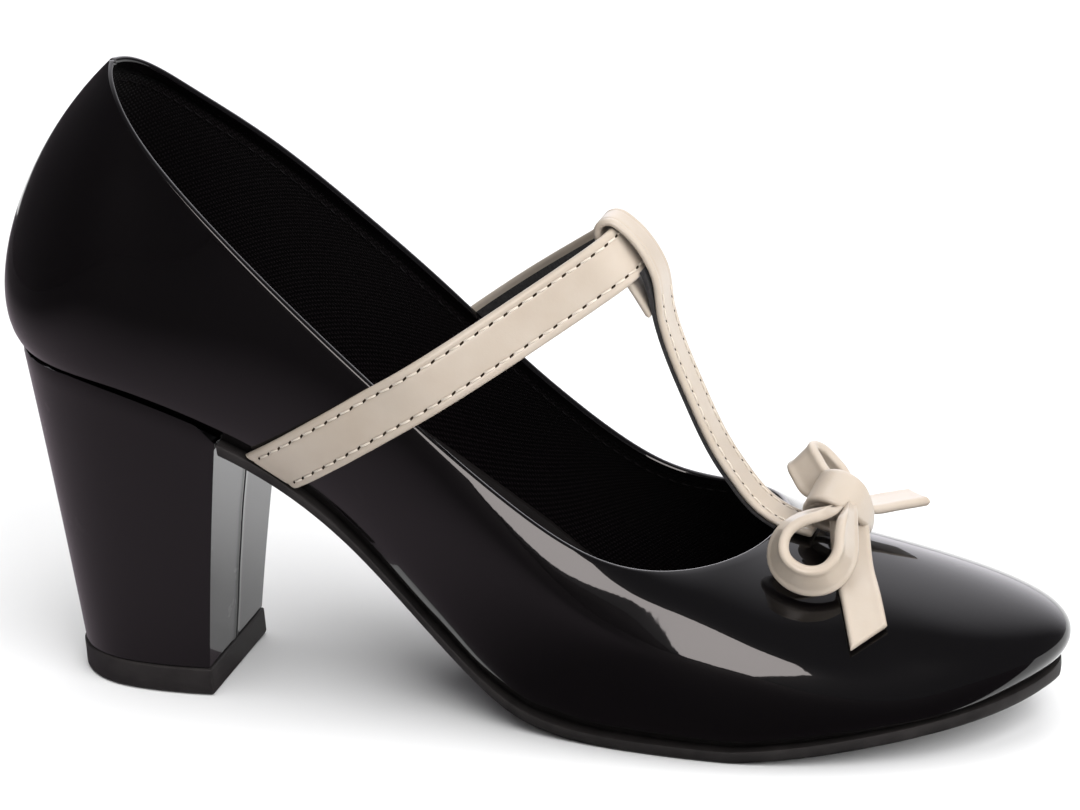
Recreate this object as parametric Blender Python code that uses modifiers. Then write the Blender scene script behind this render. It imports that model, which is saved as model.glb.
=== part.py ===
"""Mary jane pump, one left shoe: patent upper, block heel, cross strap, T-strap and bow.

+X points to the toe, +Y to the outer side of the foot, +Z up, and the shoe stands on z = 0.
Sizes in the tables are millimetres; MM turns them into metres when a mesh is made.
"""
import math
from collections import namedtuple

import bmesh
import bpy
import numpy as np

MM = 0.001

# Sizes that drive the shoe
GAP = 0.3
WALL = 1.7
SOLE_THICK = 3.0
SOLE_LEDGE = 2.6
SOLE_CHAMFER = 0.7
INSOLE_THICK = 2.0
LIP_THICK = 1.5
HEEL_TIP_THICK = 6.5
BREAST_TOP_X = 54.2
BREAST_FOOT_X = 44.4
HEEL_FOOT_BACK_X = 9.0
HEEL_FOOT_HALF = 16.0
FLAT_START = 146.0
FLAT_END = 168.0
TOE_X = 234.0
TOE_SPRING = 11.6
TOE_SPRING_POWER = 1.2
STRAP_WIDTH = 12.0
STRAP_THICK = 1.8
STRAP_TOP_X = 145.5
STRAP_TOP_Z = 105.2
STRAP_RISE_NEAR = 30.8
STRAP_RISE_FAR = 36.0
STRAP_LENGTH_NEAR = 91.6
STRAP_LENGTH_FAR = 87.0
STRAP_COLLAR_DOWN = 59.5
STRAP_END_SLANT = 2.9
T_STRAP_WIDTH = 10.0
T_STRAP_THICK = 1.6
RIBBON_WIDTH = 8.6
RIBBON_THICK = 1.8

# Height of the feather line, where the upper turns under, along the foot
Bottom = namedtuple("Bottom", "place x z slope")
BOTTOM = (
    Bottom("heel_back", 0.0, 77.0, -0.12),
    Bottom("heel_seat", 28.0, 72.8, -0.24),
    Bottom("breast", 54.0, 64.0, -0.45),
    Bottom("shank", 80.0, 45.6, -0.98),
    Bottom("arch", 100.0, 23.2, -1.10),
    Bottom("ball_back", 122.0, 5.8, -0.30),
    Bottom("tread", FLAT_START, SOLE_THICK + GAP, 0.0),
)

# Sideways swing of the centre line, the left and right curve of the last; on the outer side
# outer_drop lowers the topline, and outer_flat lowers the swell of the wall below it
Swing = namedtuple("Swing", "place x foot_shift top_shift outer_drop outer_flat")
SWING = (
    Swing("heel", 0.0, 0.0, 0.0, 0.0, 0.0),
    Swing("seat", 40.0, -0.4, -0.2, -0.8, 0.0),
    Swing("waist", 90.0, 0.4, -0.6, -1.9, 0.0),
    Swing("waist_front", 115.0, 1.5, -1.2, 1.9, 0.0),
    Swing("ball_back", 135.0, 2.6, -1.4, 3.2, 0.0),
    Swing("ball", 165.0, 3.0, -0.6, 0.8, 2.0),
    Swing("toe_side", 200.0, 1.0, 0.2, 0.0, 6.5),
    Swing("toe", 240.0, -2.8, -2.0, 0.0, -3.0),
)

# Upper: each station joins a point of the feather line to a point of the topline.
# facing is the way the wall looks, in degrees from the toe; out, up and drop are the handles
# that swell the wall above the feather line and below the topline.
Station = namedtuple("Station", "place foot_x foot_half top_x top_half top_z facing"
                                " low_out low_up high_out high_drop")
STATIONS = (
    Station("toe", 231.2, 0.0, 175.0, 0.0, 43.2, 0.0, 14.0, 8.5, 56.0, 13.0),
    Station("toe_corner", 226.8, 11.4, 174.4, 5.0, 42.9, 20.0, 13.5, 8.0, 49.0, 14.0),
    Station("toe_round", 216.8, 20.4, 172.4, 11.0, 42.2, 38.0, 12.0, 3.0, 34.0, 13.5),
    Station("toe_side", 202.0, 27.0, 168.0, 18.0, 41.7, 58.0, 12.0, 3.0, 23.0, 11.5),
    Station("ball_front", 184.0, 31.4, 160.5, 24.0, 41.6, 74.0, 11.0, 3.5, 15.0, 7.5),
    Station("ball", 164.0, 32.4, 150.0, 27.4, 42.6, 84.0, 10.0, 4.0, 11.0, 9.0),
    Station("ball_back", 142.0, 29.6, 136.0, 28.2, 47.6, 94.0, 9.0, 5.0, 7.0, 12.0),
    Station("waist_front", 120.0, 24.4, 118.0, 27.4, 60.0, 98.0, 9.0, 6.0, 4.0, 15.0),
    Station("waist", 97.0, 19.6, 97.0, 26.0, 77.6, 96.0, 9.0, 8.0, 2.0, 17.0),
    Station("waist_back", 75.0, 18.4, 77.0, 24.4, 96.0, 91.0, 8.0, 9.0, 2.0, 18.0),
    Station("breast", 53.0, 19.2, 58.0, 22.0, 114.5, 92.0, 7.5, 8.0, 3.0, 20.0),
    Station("heel_side", 32.0, 18.4, 43.0, 16.6, 129.0, 104.0, 7.0, 6.0, 8.0, 22.0),
    Station("heel_curve", 13.5, 12.4, 33.6, 8.6, 139.4, 140.0, 9.6, 5.0, 19.2, 24.0),
    Station("heel_back", 5.5, 0.0, 30.5, 0.0, 142.4, 180.0, 12.9, 4.5, 27.6, 24.5),
)
AROUND = 88
UP_WALL = 12

# Insole: its edge turns up along the wall at the waist, by rise above its top
InsoleLip = namedtuple("InsoleLip", "place x rise")
INSOLE_LIP = (
    InsoleLip("seat", 40.0, 0.3),
    InsoleLip("breast", 56.0, 0.8),
    InsoleLip("shank_back", 70.0, 3.4),
    InsoleLip("shank", 85.0, 5.9),
    InsoleLip("arch_back", 95.0, 8.6),
    InsoleLip("arch", 105.0, 10.6),
    InsoleLip("arch_front", 113.0, 10.9),
    InsoleLip("ball_back", 124.0, 6.4),
    InsoleLip("ball", 137.0, 1.6),
    InsoleLip("tread", 150.0, 0.3),
)

# Cross strap: down is measured from its top along its slope, out from the middle of the shoe;
# on the wall it is the share of the way from the collar to the strap's end
StrapPoint = namedtuple("StrapPoint", "place down out")
STRAP_ON_WALL = (1.0, 0.83, 0.66, 0.5, 0.33, 0.17, 0.0)
STRAP_FREE = (
    StrapPoint("above_collar", 48.6, 27.0),
    StrapPoint("lower_arch", 35.6, 23.8),
    StrapPoint("upper_arch", 19.6, 16.9),
    StrapPoint("shoulder", 8.6, 11.4),
    StrapPoint("loop_edge", 2.0, 7.0),
    StrapPoint("loop_side", 0.2, 3.6),
)

# T-strap: middle of the leather in the middle plane, from the vamp up; the loop rows are
# measured from the top of the cross strap, ahead of it and across it
TStrapPoint = namedtuple("TStrapPoint", "place x z")
T_STRAP_ON_VAMP = (182.0, 179.6, 177.0)
T_STRAP_FREE = (
    TStrapPoint("throat", 172.0, 46.4),
    TStrapPoint("lower", 164.4, 56.2),
    TStrapPoint("middle", 157.0, 73.6),
    TStrapPoint("upper", 152.4, 90.0),
)
LoopPoint = namedtuple("LoopPoint", "place ahead across")
T_STRAP_LOOP = (
    LoopPoint("front_low", 2.5, -7.0),
    LoopPoint("front_high", 2.5, 4.6),
    LoopPoint("fold_front", 1.5, 7.0),
    LoopPoint("fold_top", -0.4, 7.9),
    LoopPoint("fold_back", -2.7, 7.1),
    LoopPoint("back_high", -3.5, 4.6),
    LoopPoint("back_low", -3.5, -6.4),
)
T_STRAP_END = TStrapPoint("sewn_end", 150.0, 91.0)

# Bow: middle of the ribbon of each loop, in a plane through its centre; the knot lies round
# an axis across the shoe, and each tail ends in a cut that is longer on one side
KNOT_CENTRE = (187.3, -1.7, 48.2)
KNOT_AXIS = (0.206, 0.860, 0.463)
KNOT_SIZE = (13.0, 9.8, 11.4)
LoopFrame = namedtuple("LoopFrame", "centre along axis flare")
NEAR_LOOP = LoopFrame((186.5, -19.2, 45.6), (-0.24, -0.71, -0.66), (0.21, -0.73, 0.65), 0.44)
FAR_LOOP = LoopFrame((180.6, 6.5, 51.8), (-0.65, 0.52, 0.55), (0.68, 0.09, 0.72), 0.04)
Ribbon = namedtuple("Ribbon", "place ahead side")
NEAR_RIBBON = (
    Ribbon("knot_back", -8.6, 0.4),
    Ribbon("back_strand", -6.4, -3.4),
    Ribbon("back_side", -0.8, -7.2),
    Ribbon("back_end", 4.8, -5.6),
    Ribbon("end", 7.0, 0.0),
    Ribbon("front_end", 4.8, 5.4),
    Ribbon("front_side", -0.8, 7.2),
    Ribbon("front_strand", -6.0, 5.4),
    Ribbon("knot_front", -9.4, 4.2),
)
FAR_RIBBON = (
    Ribbon("knot_near", -3.6, 3.2),
    Ribbon("near_strand", -1.6, 3.1),
    Ribbon("near_side", 1.5, 3.0),
    Ribbon("near_end", 3.8, 2.5),
    Ribbon("end", 4.7, 0.6),
    Ribbon("far_end", 3.7, -1.8),
    Ribbon("far_side", 0.8, -3.2),
    Ribbon("far_strand", -2.1, -3.9),
    Ribbon("knot_far", -4.2, -3.7),
)
TailPoint = namedtuple("TailPoint", "place x y lift level")
NEAR_TAIL = (
    TailPoint("knot", 190.0, -5.6, 2.8, 0.0),
    TailPoint("upper", 192.6, -11.5, 0.6, 0.0),
    TailPoint("lower", 196.2, -18.5, 0.6, 0.0),
    TailPoint("end", 200.2, -26.7, 1.5, 0.0),
)
FAR_TAIL = (
    TailPoint("knot", 189.8, 6.0, 4.7, 1.0),
    TailPoint("middle", 193.8, 8.6, 6.4, 1.0),
    TailPoint("end", 198.2, 11.6, 8.6, 0.9),
)
NEAR_TAIL_CUT = 2.3
FAR_TAIL_CUT = 0.4
LEVEL_FACING = (0.0, 0.09, 1.0)


def hermite(knots, values, slopes, place):
    """A smooth curve through values at knots with the given slopes, read at place."""
    place = np.asarray(place, float)
    k = np.clip(np.searchsorted(knots, place, side="right") - 1, 0, len(knots) - 2)
    span = knots[k + 1] - knots[k]
    t = (place - knots[k]) / span
    rise = values[k + 1] - values[k]
    a = slopes[k] * span - rise
    b = rise - slopes[k + 1] * span
    return values[k] + t * rise + t * (1 - t) * ((1 - t) * a + t * b)


def bottom_height(x):
    """Height of the feather line above the floor at x along the foot."""
    x = np.asarray(x, float)
    knots, values, slopes = (np.array([getattr(row, key) for row in BOTTOM]) for key in ("x", "z", "slope"))
    back = hermite(knots, values, slopes, np.clip(x, knots[0], FLAT_START))
    back = back + slopes[0] * np.minimum(x - knots[0], 0)
    spring = np.clip(x - FLAT_END, 0, None) / (TOE_X - FLAT_END)
    return back + TOE_SPRING * spring ** TOE_SPRING_POWER


def swing(x, column):
    """Sideways shift of the centre line at x along the foot."""
    knots, values = (np.array([getattr(row, key) for row in SWING]) for key in ("x", column))
    slopes = np.gradient(values, knots)
    return hermite(knots, values, slopes, np.clip(x, knots[0], knots[-1]))


def swung(points, column="foot_shift"):
    """The points with the left and right curve of the last put in."""
    points = np.array(points, float)
    points[..., 1] += swing(points[..., 0], column)
    return points


def closed_spline(knots, rows, place):
    """A smooth closed curve through rows at knots, read at place; the last knot closes it."""
    count = len(rows)
    span = np.diff(knots)
    slope = (np.roll(rows, -1, axis=0) - rows) / span[:, None]
    system = np.zeros((count, count))
    for i in range(count):
        system[i, i - 1] += span[i - 1]
        system[i, i] += 2 * (span[i - 1] + span[i])
        system[i, (i + 1) % count] += span[i]
    bend = np.linalg.solve(system, 6 * (slope - np.roll(slope, 1, axis=0)))
    place = np.mod(place, knots[-1])
    k = np.clip(np.searchsorted(knots, place, side="right") - 1, 0, count - 1)
    after = (k + 1) % count
    h = span[k][:, None]
    t = (place - knots[k])[:, None]
    curve = rows[k] + t * (slope[k] - h * (2 * bend[k] + bend[after]) / 6)
    return curve + t ** 2 * bend[k] / 2 + t ** 3 * (bend[after] - bend[k]) / (6 * h)


def station_loop():
    """The stations as columns for both sides, near side first, with their places round the shoe."""
    rows = []
    for side, order in ((-1.0, STATIONS), (1.0, STATIONS[-2:0:-1])):
        for s in order:
            out_x = math.cos(math.radians(s.facing))
            out_y = side * math.sin(math.radians(s.facing))
            rows.append((s.foot_x, side * s.foot_half, s.top_x, side * s.top_half, s.top_z,
                         out_x * s.low_out, out_y * s.low_out, s.low_up,
                         out_x * s.high_out, out_y * s.high_out, -s.high_drop, out_x, out_y))
    rows = np.array(rows)
    step = np.linalg.norm(np.roll(rows, -1, axis=0)[:, :2] - rows[:, :2], axis=1)
    knots = np.concatenate([[0.0], np.cumsum(step)])
    return knots / knots[-1], rows


LOOP_KNOTS, LOOP_ROWS = station_loop()


def upper_outside(round_place, up_place):
    """Points on the outside of the upper: round_place runs 0 to 1 round the shoe from the toe
    along the inner side of the foot, up_place 0 to 1 from the feather line to the topline."""
    shape = np.broadcast(round_place, up_place).shape
    u = np.broadcast_to(round_place, shape).ravel()
    v = np.broadcast_to(up_place, shape).reshape(-1, 1)
    c = closed_spline(LOOP_KNOTS, LOOP_ROWS, u)
    foot = np.column_stack([c[:, 0], c[:, 1], bottom_height(c[:, 0])])
    top = c[:, 2:5]
    top[:, 2] -= swing(top[:, 0], "outer_drop") * np.clip(0.5 + top[:, 1] / 50, 0, 1)
    low = swung(foot + c[:, 5:8])
    high = swung(top + c[:, 8:11], "top_shift")
    high[:, 2] -= swing(high[:, 0], "outer_flat") * np.clip(0.5 + high[:, 1] / 50, 0, 1)
    w = 1 - v
    points = w ** 3 * swung(foot) + 3 * w ** 2 * v * low
    points += 3 * w * v ** 2 * high + v ** 3 * swung(top, "top_shift")
    return points.reshape(shape + (3,))


def upper_normal(round_place, up_place):
    """Outward unit normals of the upper's outside at the same places."""
    d = 1e-4
    up_place = np.clip(up_place, d, 1 - d)
    along = upper_outside(round_place + d, up_place) - upper_outside(round_place - d, up_place)
    up = upper_outside(round_place, up_place + d) - upper_outside(round_place, up_place - d)
    out = np.cross(up, along)
    return out / np.linalg.norm(out, axis=-1, keepdims=True)


def feather_outline(u, ledge):
    """The feather line at u, moved out by ledge, before the swing is put in: x, y."""
    c = closed_spline(LOOP_KNOTS, LOOP_ROWS, np.atleast_1d(u))
    out = c[:, 11:13] / np.linalg.norm(c[:, 11:13], axis=1, keepdims=True)
    return c[:, :2] + ledge * out


def place_at_x(x, ledge):
    """Place round the inner side of the shoe where the outline reaches x."""
    low, high = 0.05, 0.45
    for _ in range(50):
        middle = (low + high) / 2
        if feather_outline(middle, ledge)[0, 0] > x:
            low = middle
        else:
            high = middle
    return (low + high) / 2


def path_spline(rows, count):
    """Evenly spread points on a smooth open curve through rows."""
    rows = np.array(rows, float)
    step = np.linalg.norm(np.diff(rows, axis=0), axis=1)
    knots = np.concatenate([[0.0], np.cumsum(step)])
    slopes = np.gradient(rows, knots, axis=0)
    fine = np.linspace(0, knots[-1], 40 * len(rows))
    dense = np.column_stack([hermite(knots, rows[:, k], slopes[:, k], fine) for k in range(rows.shape[1])])
    run = np.concatenate([[0.0], np.cumsum(np.linalg.norm(np.diff(dense, axis=0), axis=1))])
    even = np.linspace(0, run[-1], count)
    return np.column_stack([np.interp(even, run, dense[:, k]) for k in range(rows.shape[1])])


def unit(vectors):
    """The vectors at length one."""
    return vectors / np.linalg.norm(vectors, axis=-1, keepdims=True)


def find_on_upper(keep, target, start):
    """Place on the upper's outside whose coordinates named by keep match target, from start."""
    keep = list(keep)
    place = np.array(start, float)
    step = 1e-4
    for _ in range(40):
        here = upper_outside(place[:1], place[1:])[0]
        round_step = (upper_outside(place[:1] + step, place[1:])[0] - here)[keep] / step
        up_step = (upper_outside(place[:1], place[1:] + step)[0] - here)[keep] / step
        move = np.linalg.solve(np.column_stack([round_step, up_step]), target - here[keep])
        place += np.clip(move, -0.04, 0.04)
        place[1] = np.clip(place[1], 0.0, 1.0)
    return place


def over_wall(side, x, z, lift):
    """Point lift outside the side wall, seen from the side at x, z."""
    start_round = place_at_x(min(x, 200.0), 0.0)
    start = (start_round if side < 0 else 1 - start_round, 0.5)
    u, v = find_on_upper((0, 2), (x, z), start)
    here = (np.array([u]), np.array([v]))
    return (upper_outside(*here) + lift * upper_normal(*here))[0]


def over_vamp(x, y, lift):
    """Point lift above the vamp, seen from above at x, y, and the vamp's normal there."""
    u, v = find_on_upper((0, 1), (x, y), (-0.06 if y > 0 else 0.06, 0.7))
    here = (np.array([u]), np.array([v]))
    normal = upper_normal(*here)[0]
    return upper_outside(*here)[0] + lift * normal, normal


def band_rings(left, right, thick):
    """Four-cornered sections of a band whose middle surface runs between two edges."""
    across = unit(right - left)
    along = np.gradient((left + right) / 2, axis=0)
    normal = unit(np.cross(along, across))
    half = normal * thick / 2
    return np.stack([left - half, left + half, right + half, right - half], axis=1)


def add_solid(name, rings, collection, holder, paint, smooth):
    """A closed solid lofted through rings of points, its ends closed rib by rib."""
    rings = [np.asarray(ring) * MM for ring in rings]
    mesh_data = bmesh.new()
    corners = [[mesh_data.verts.new(point) for point in ring] for ring in rings]
    count = len(corners[0])
    for one, other in zip(corners, corners[1:]):
        for k in range(count):
            after = (k + 1) % count
            mesh_data.faces.new((one[k], one[after], other[after], other[k]))
    for ring in (corners[0], corners[-1]):
        for k in range(count // 2):
            ends = [ring[k], ring[k + 1], ring[count - 2 - k], ring[count - 1 - k]]
            ends = [v for n, v in enumerate(ends) if v not in ends[:n]]
            if len(ends) > 2:
                mesh_data.faces.new(ends)
    return finish_piece(name, mesh_data, collection, holder, paint, smooth)


def finish_piece(name, mesh_data, collection, holder, paint, smooth):
    """Turn the faces outward and put the piece in its collection."""
    bmesh.ops.recalc_face_normals(mesh_data, faces=mesh_data.faces[:])
    for face in mesh_data.faces:
        face.smooth = smooth
    mesh = bpy.data.meshes.new(name)
    mesh_data.to_mesh(mesh)
    mesh_data.free()
    mesh.materials.append(paint)
    piece = bpy.data.objects.new(name, mesh)
    collection.objects.link(piece)
    piece.parent = holder
    return piece


def paint(name, colour, roughness):
    """A plain material for one kind of surface."""
    material = bpy.data.materials.new(name)
    material.use_nodes = True
    shader = material.node_tree.nodes["Principled BSDF"]
    shader.inputs["Base Color"].default_value = (*colour, 1.0)
    shader.inputs["Roughness"].default_value = roughness
    return material


def upper_sheet(collection, holder, patent):
    """The upper: the outside surface as a grid, given its wall by a thickness modifier."""
    mesh_data = bmesh.new()
    u = np.arange(AROUND) / AROUND
    v = np.linspace(0, 1, UP_WALL + 1)
    grid = upper_outside(u[:, None], v[None, :]) * MM
    corners = [[mesh_data.verts.new(point) for point in column] for column in grid]
    for i in range(AROUND):
        one, other = corners[i], corners[(i + 1) % AROUND]
        for k in range(UP_WALL):
            mesh_data.faces.new((one[k], one[k + 1], other[k + 1], other[k]))
    for face in mesh_data.faces:
        face.smooth = True
    mesh = bpy.data.meshes.new("upper")
    mesh_data.to_mesh(mesh)
    mesh_data.free()
    mesh.materials.append(patent)
    piece = bpy.data.objects.new("upper", mesh)
    collection.objects.link(piece)
    piece.parent = holder
    wall = piece.modifiers.new("wall", "SOLIDIFY")
    wall.thickness = WALL * MM
    wall.offset = -1.0
    wall.use_even_offset = True
    wall.use_rim = True
    return piece


def outsole_rings():
    """Ribs of the outsole from the toe to the heel breast."""
    last = place_at_x(BREAST_TOP_X + GAP, SOLE_LEDGE)
    places = last * np.linspace(0.02, 1.0, 46) ** 1.25
    places[-1] = last
    rings = []
    for u in places:
        edges = []
        for side, ledge, drop in ((1, SOLE_LEDGE, 0), (1, SOLE_LEDGE - SOLE_CHAMFER, 1),
                                  (-1, SOLE_LEDGE - SOLE_CHAMFER, 1), (-1, SOLE_LEDGE, 0)):
            x, y = feather_outline(side * u, ledge)[0]
            edges.append((x, y, bottom_height(x) - GAP - drop * SOLE_THICK))
        rings.append(swung(edges))
    return rings


def insole_point(place, height, inset):
    """A point of the insole round the shoe, above its underside and in from the wall."""
    climb = np.linspace(0.0, 0.7, 141)
    around = np.full_like(climb, place)
    inside = upper_outside(around, climb) - WALL * upper_normal(around, climb)
    above = inside[:, 2] - bottom_height(inside[:, 0]) - WALL - GAP
    v = np.interp(height - GAP, np.maximum.accumulate(above), climb)
    here = (np.array([place]), np.array([v]))
    out = upper_normal(*here)[0]
    point = upper_outside(*here)[0] - WALL * out
    point[:2] -= (2 * GAP + inset) * unit(out[:2])
    point[2] = bottom_height(point[0]) + WALL + GAP + height
    return point


def insole_rings():
    """Ribs of the insole, a sheet on the turned-under edge with a lip up the wall."""
    rings = []
    for u in 0.5 * np.linspace(0.035, 0.975, 44):
        sides = []
        for place in (u, -u):
            foot = insole_point(place, 0.0, 0.0)
            rise = np.interp(foot[0], [p.x for p in INSOLE_LIP], [p.rise for p in INSOLE_LIP])
            sides.append([foot, insole_point(place, INSOLE_THICK + rise, 0.0),
                          insole_point(place, INSOLE_THICK + rise, LIP_THICK),
                          insole_point(place, INSOLE_THICK, LIP_THICK)])
        rings.append(sides[0] + sides[1][::-1])
    return rings


def heel_outline(shrink):
    """The outline round the heel, from the seat drawn in to the foot of the heel: x, y."""
    first = place_at_x(BREAST_TOP_X, SOLE_LEDGE)
    seat = np.vstack([feather_outline(u, SOLE_LEDGE) for u in np.linspace(first, 1 - first, 33)])
    depth = (BREAST_FOOT_X - HEEL_FOOT_BACK_X) / (BREAST_TOP_X - seat[:, 0].min())
    foot_x = BREAST_FOOT_X - (BREAST_TOP_X - seat[:, 0]) * depth
    foot_y = seat[:, 1] * HEEL_FOOT_HALF / seat[:, 1].max()
    seat_part = np.array(1.0 - shrink)[..., None]
    return seat * seat_part + np.column_stack([foot_x, foot_y]) * (1 - seat_part)


def heel_rings():
    """Level sections of the heel from the seat down to the tip."""
    seat = heel_outline(0.0)
    seat_z = bottom_height(seat[:, 0]) - GAP
    rings = []
    for down in (0.0, 0.06, 0.2, 0.4, 0.6, 0.8, 1.0):
        outline = heel_outline(down + 0.16 * down * (1 - down))
        z = seat_z + (HEEL_TIP_THICK + GAP - seat_z) * down
        rings.append(swung(np.column_stack([outline, z])))
    return rings


def heel_tip_rings():
    """The top piece under the heel, a little wider than the heel's foot."""
    outline = heel_outline(1.0)
    middle = np.array([(BREAST_FOOT_X + HEEL_FOOT_BACK_X) / 2, 0.0])
    rings = []
    for z, grow in ((0.0, 0.99), (0.6, 1.025), (HEEL_TIP_THICK, 1.025)):
        wide = middle + (outline - middle) * grow
        rings.append(swung(np.column_stack([wide, np.full(len(wide), z)])))
    return rings


def strap_slope(rise):
    """Unit vectors up the cross strap's slope and across its width, seen from the side."""
    rise = math.radians(rise)
    return np.array([math.cos(rise), math.sin(rise)]), np.array([-math.sin(rise), math.cos(rise)])


def strap_rings():
    """The cross strap: up the near wall, over the instep and down the far wall."""
    top = np.array([STRAP_TOP_X, STRAP_TOP_Z])
    edges = []
    for half in (STRAP_WIDTH / 2, -STRAP_WIDTH / 2):
        slant = math.copysign(STRAP_END_SLANT, half)
        sides = []
        for side, rise, length in ((-1, STRAP_RISE_NEAR, STRAP_LENGTH_NEAR),
                                   (1, STRAP_RISE_FAR, STRAP_LENGTH_FAR)):
            slope, width = strap_slope(rise)
            rows = []
            for share in STRAP_ON_WALL:
                down = STRAP_COLLAR_DOWN + share * (length - STRAP_COLLAR_DOWN + slant)
                x, z = top - slope * down + width * half
                rows.append(over_wall(side, x, z, GAP + STRAP_THICK / 2))
            for point in STRAP_FREE:
                x, z = top - slope * point.down + width * half
                rows.append((x, side * point.out + swing(x, "top_shift"), z))
            sides.append(rows)
        x, z = top + strap_slope((STRAP_RISE_NEAR + STRAP_RISE_FAR) / 2)[1] * half
        middle = [(x, swing(x, "top_shift"), z)]
        edges.append(path_spline(sides[0] + middle + sides[1][::-1], 64))
    return band_rings(edges[0], edges[1], STRAP_THICK)


def t_strap_rings():
    """The T-strap: from under the bow to the cross strap, folded round it and back."""
    slope, width = strap_slope((STRAP_RISE_NEAR + STRAP_RISE_FAR) / 2)
    top = np.array([STRAP_TOP_X, STRAP_TOP_Z])
    middle = float(swing(top[0], "top_shift"))
    rows = []
    for x in T_STRAP_ON_VAMP:
        point, _ = over_vamp(x, middle, GAP + T_STRAP_THICK / 2)
        rows.append((point[0], point[2]))
    rows += [(p.x, p.z) for p in T_STRAP_FREE]
    rows += [tuple(top + slope * p.ahead + width * p.across) for p in T_STRAP_LOOP]
    rows.append((T_STRAP_END.x, T_STRAP_END.z))
    path = path_spline(rows, 60)
    left = np.column_stack([path[:, 0], np.full(len(path), middle - T_STRAP_WIDTH / 2), path[:, 1]])
    right = left + (0.0, T_STRAP_WIDTH, 0.0)
    return band_rings(left, right, T_STRAP_THICK)


def bow_loop_rings(frame, ribbon):
    """One loop of the bow: a ribbon standing on edge round the loop's axis."""
    axis = unit(np.array(frame.axis))
    along = np.array(frame.along)
    along = unit(along - axis * along.dot(axis))
    side = np.cross(axis, along)
    flat = path_spline([(p.ahead, p.side) for p in ribbon], 38)
    ring = flat[:, :1] * along + flat[:, 1:] * side
    middle = np.array(frame.centre) + ring
    slope = unit(frame.flare * unit(ring) - axis) * RIBBON_WIDTH / 2
    return band_rings(middle + slope, middle - slope, RIBBON_THICK)


def tail_rings(rows, cut):
    """One free end of the bow, over the vamp, cut slantwise at its end."""
    points, normals = [], []
    for p in rows:
        point, normal = over_vamp(p.x, p.y, GAP + RIBBON_THICK / 2 + p.lift)
        points.append(point)
        normals.append(unit(normal * (1 - p.level) + np.array(LEVEL_FACING) * p.level))
    path = path_spline(np.hstack([points, normals]), 121)
    steps = np.linalg.norm(np.diff(path[:, :3], axis=0), axis=1)
    run = np.concatenate([[0.0], np.cumsum(steps)])
    along = unit(np.gradient(path[:, :3], axis=0))
    across = unit(np.cross(unit(path[:, 3:]), along)) * RIBBON_WIDTH / 2
    edges = []
    for sign in (-1, 1):
        edge = path[:, :3] + sign * across
        place = np.linspace(0, run[-1] - cut * (1 + sign), 13)
        edges.append(np.column_stack([np.interp(place, run, edge[:, k]) for k in range(3)]))
    return band_rings(edges[0], edges[1], RIBBON_THICK)


def knot_rings():
    """The knot: a rounded block round an axis through the middle of the bow."""
    axis = unit(np.array(KNOT_AXIS))
    fore = unit(np.array((1.0, 0.0, 0.0)) - axis * axis[0])
    up = np.cross(fore, axis)
    size = np.array(KNOT_SIZE) / 2
    turn = np.linspace(0, 2 * np.pi, 21)[:-1]
    round_off = 0.85
    rings = []
    for tip in np.linspace(-1, 1, 11) * 0.97:
        swell = (1 - abs(tip) ** 2.6) ** (1 / 2.6)
        x = np.sign(np.cos(turn)) * np.abs(np.cos(turn)) ** round_off * size[0] * swell
        z = np.sign(np.sin(turn)) * np.abs(np.sin(turn)) ** round_off * size[2] * swell
        middle = np.array(KNOT_CENTRE) + tip * size[1] * axis
        rings.append(middle + x[:, None] * fore + z[:, None] * up)
    return rings


def build():
    """Make every piece of the shoe and stand it with its footprint round the origin."""
    for old in list(bpy.data.objects):
        bpy.data.objects.remove(old, do_unlink=True)
    shoe = bpy.data.collections.new("mary_jane_pump")
    bpy.context.scene.collection.children.link(shoe)
    holder = bpy.data.objects.new("shoe", None)
    shoe.objects.link(holder)
    patent = paint("patent_black", (0.012, 0.011, 0.014), 0.08)
    ivory = paint("ivory_strap", (0.72, 0.66, 0.56), 0.35)
    rubber = paint("black_rubber", (0.02, 0.02, 0.02), 0.6)
    sock = paint("sock_lining", (0.05, 0.05, 0.055), 0.45)
    upper_sheet(shoe, holder, patent)
    add_solid("outsole", outsole_rings(), shoe, holder, rubber, False)
    add_solid("insole", insole_rings(), shoe, holder, sock, False)
    add_solid("heel", heel_rings(), shoe, holder, patent, True)
    add_solid("heel_tip", heel_tip_rings(), shoe, holder, rubber, False)
    add_solid("cross_strap", strap_rings(), shoe, holder, ivory, False)
    add_solid("t_strap", t_strap_rings(), shoe, holder, ivory, False)
    add_solid("bow_loop_near", bow_loop_rings(NEAR_LOOP, NEAR_RIBBON), shoe, holder, ivory, False)
    add_solid("bow_loop_far", bow_loop_rings(FAR_LOOP, FAR_RIBBON), shoe, holder, ivory, False)
    add_solid("bow_knot", knot_rings(), shoe, holder, ivory, True)
    add_solid("bow_tail_near", tail_rings(NEAR_TAIL, NEAR_TAIL_CUT), shoe, holder, ivory, False)
    add_solid("bow_tail_far", tail_rings(FAR_TAIL, FAR_TAIL_CUT), shoe, holder, ivory, False)
    corners = np.array([v.co for piece in shoe.objects if piece.data for v in piece.data.vertices])
    middle = (corners.min(axis=0) + corners.max(axis=0)) / 2
    holder.location = (-middle[0], -middle[1], 0.0)


build()
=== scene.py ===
# %% [markdown]
# # Dressing a patent mary jane pump
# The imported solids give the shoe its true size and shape. This lesson puts a finished surface
# on each of them: lacquered leather, a woven lining, sewn ivory straps and a tied bow.
# Every piece is made again with fine curves from the same few tables, so it lands where its
# solid stands, and the solid itself is then hidden.

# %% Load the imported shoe
import math
from collections import namedtuple

import bpy
import numpy as np
from mathutils import Matrix, Vector


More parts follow.
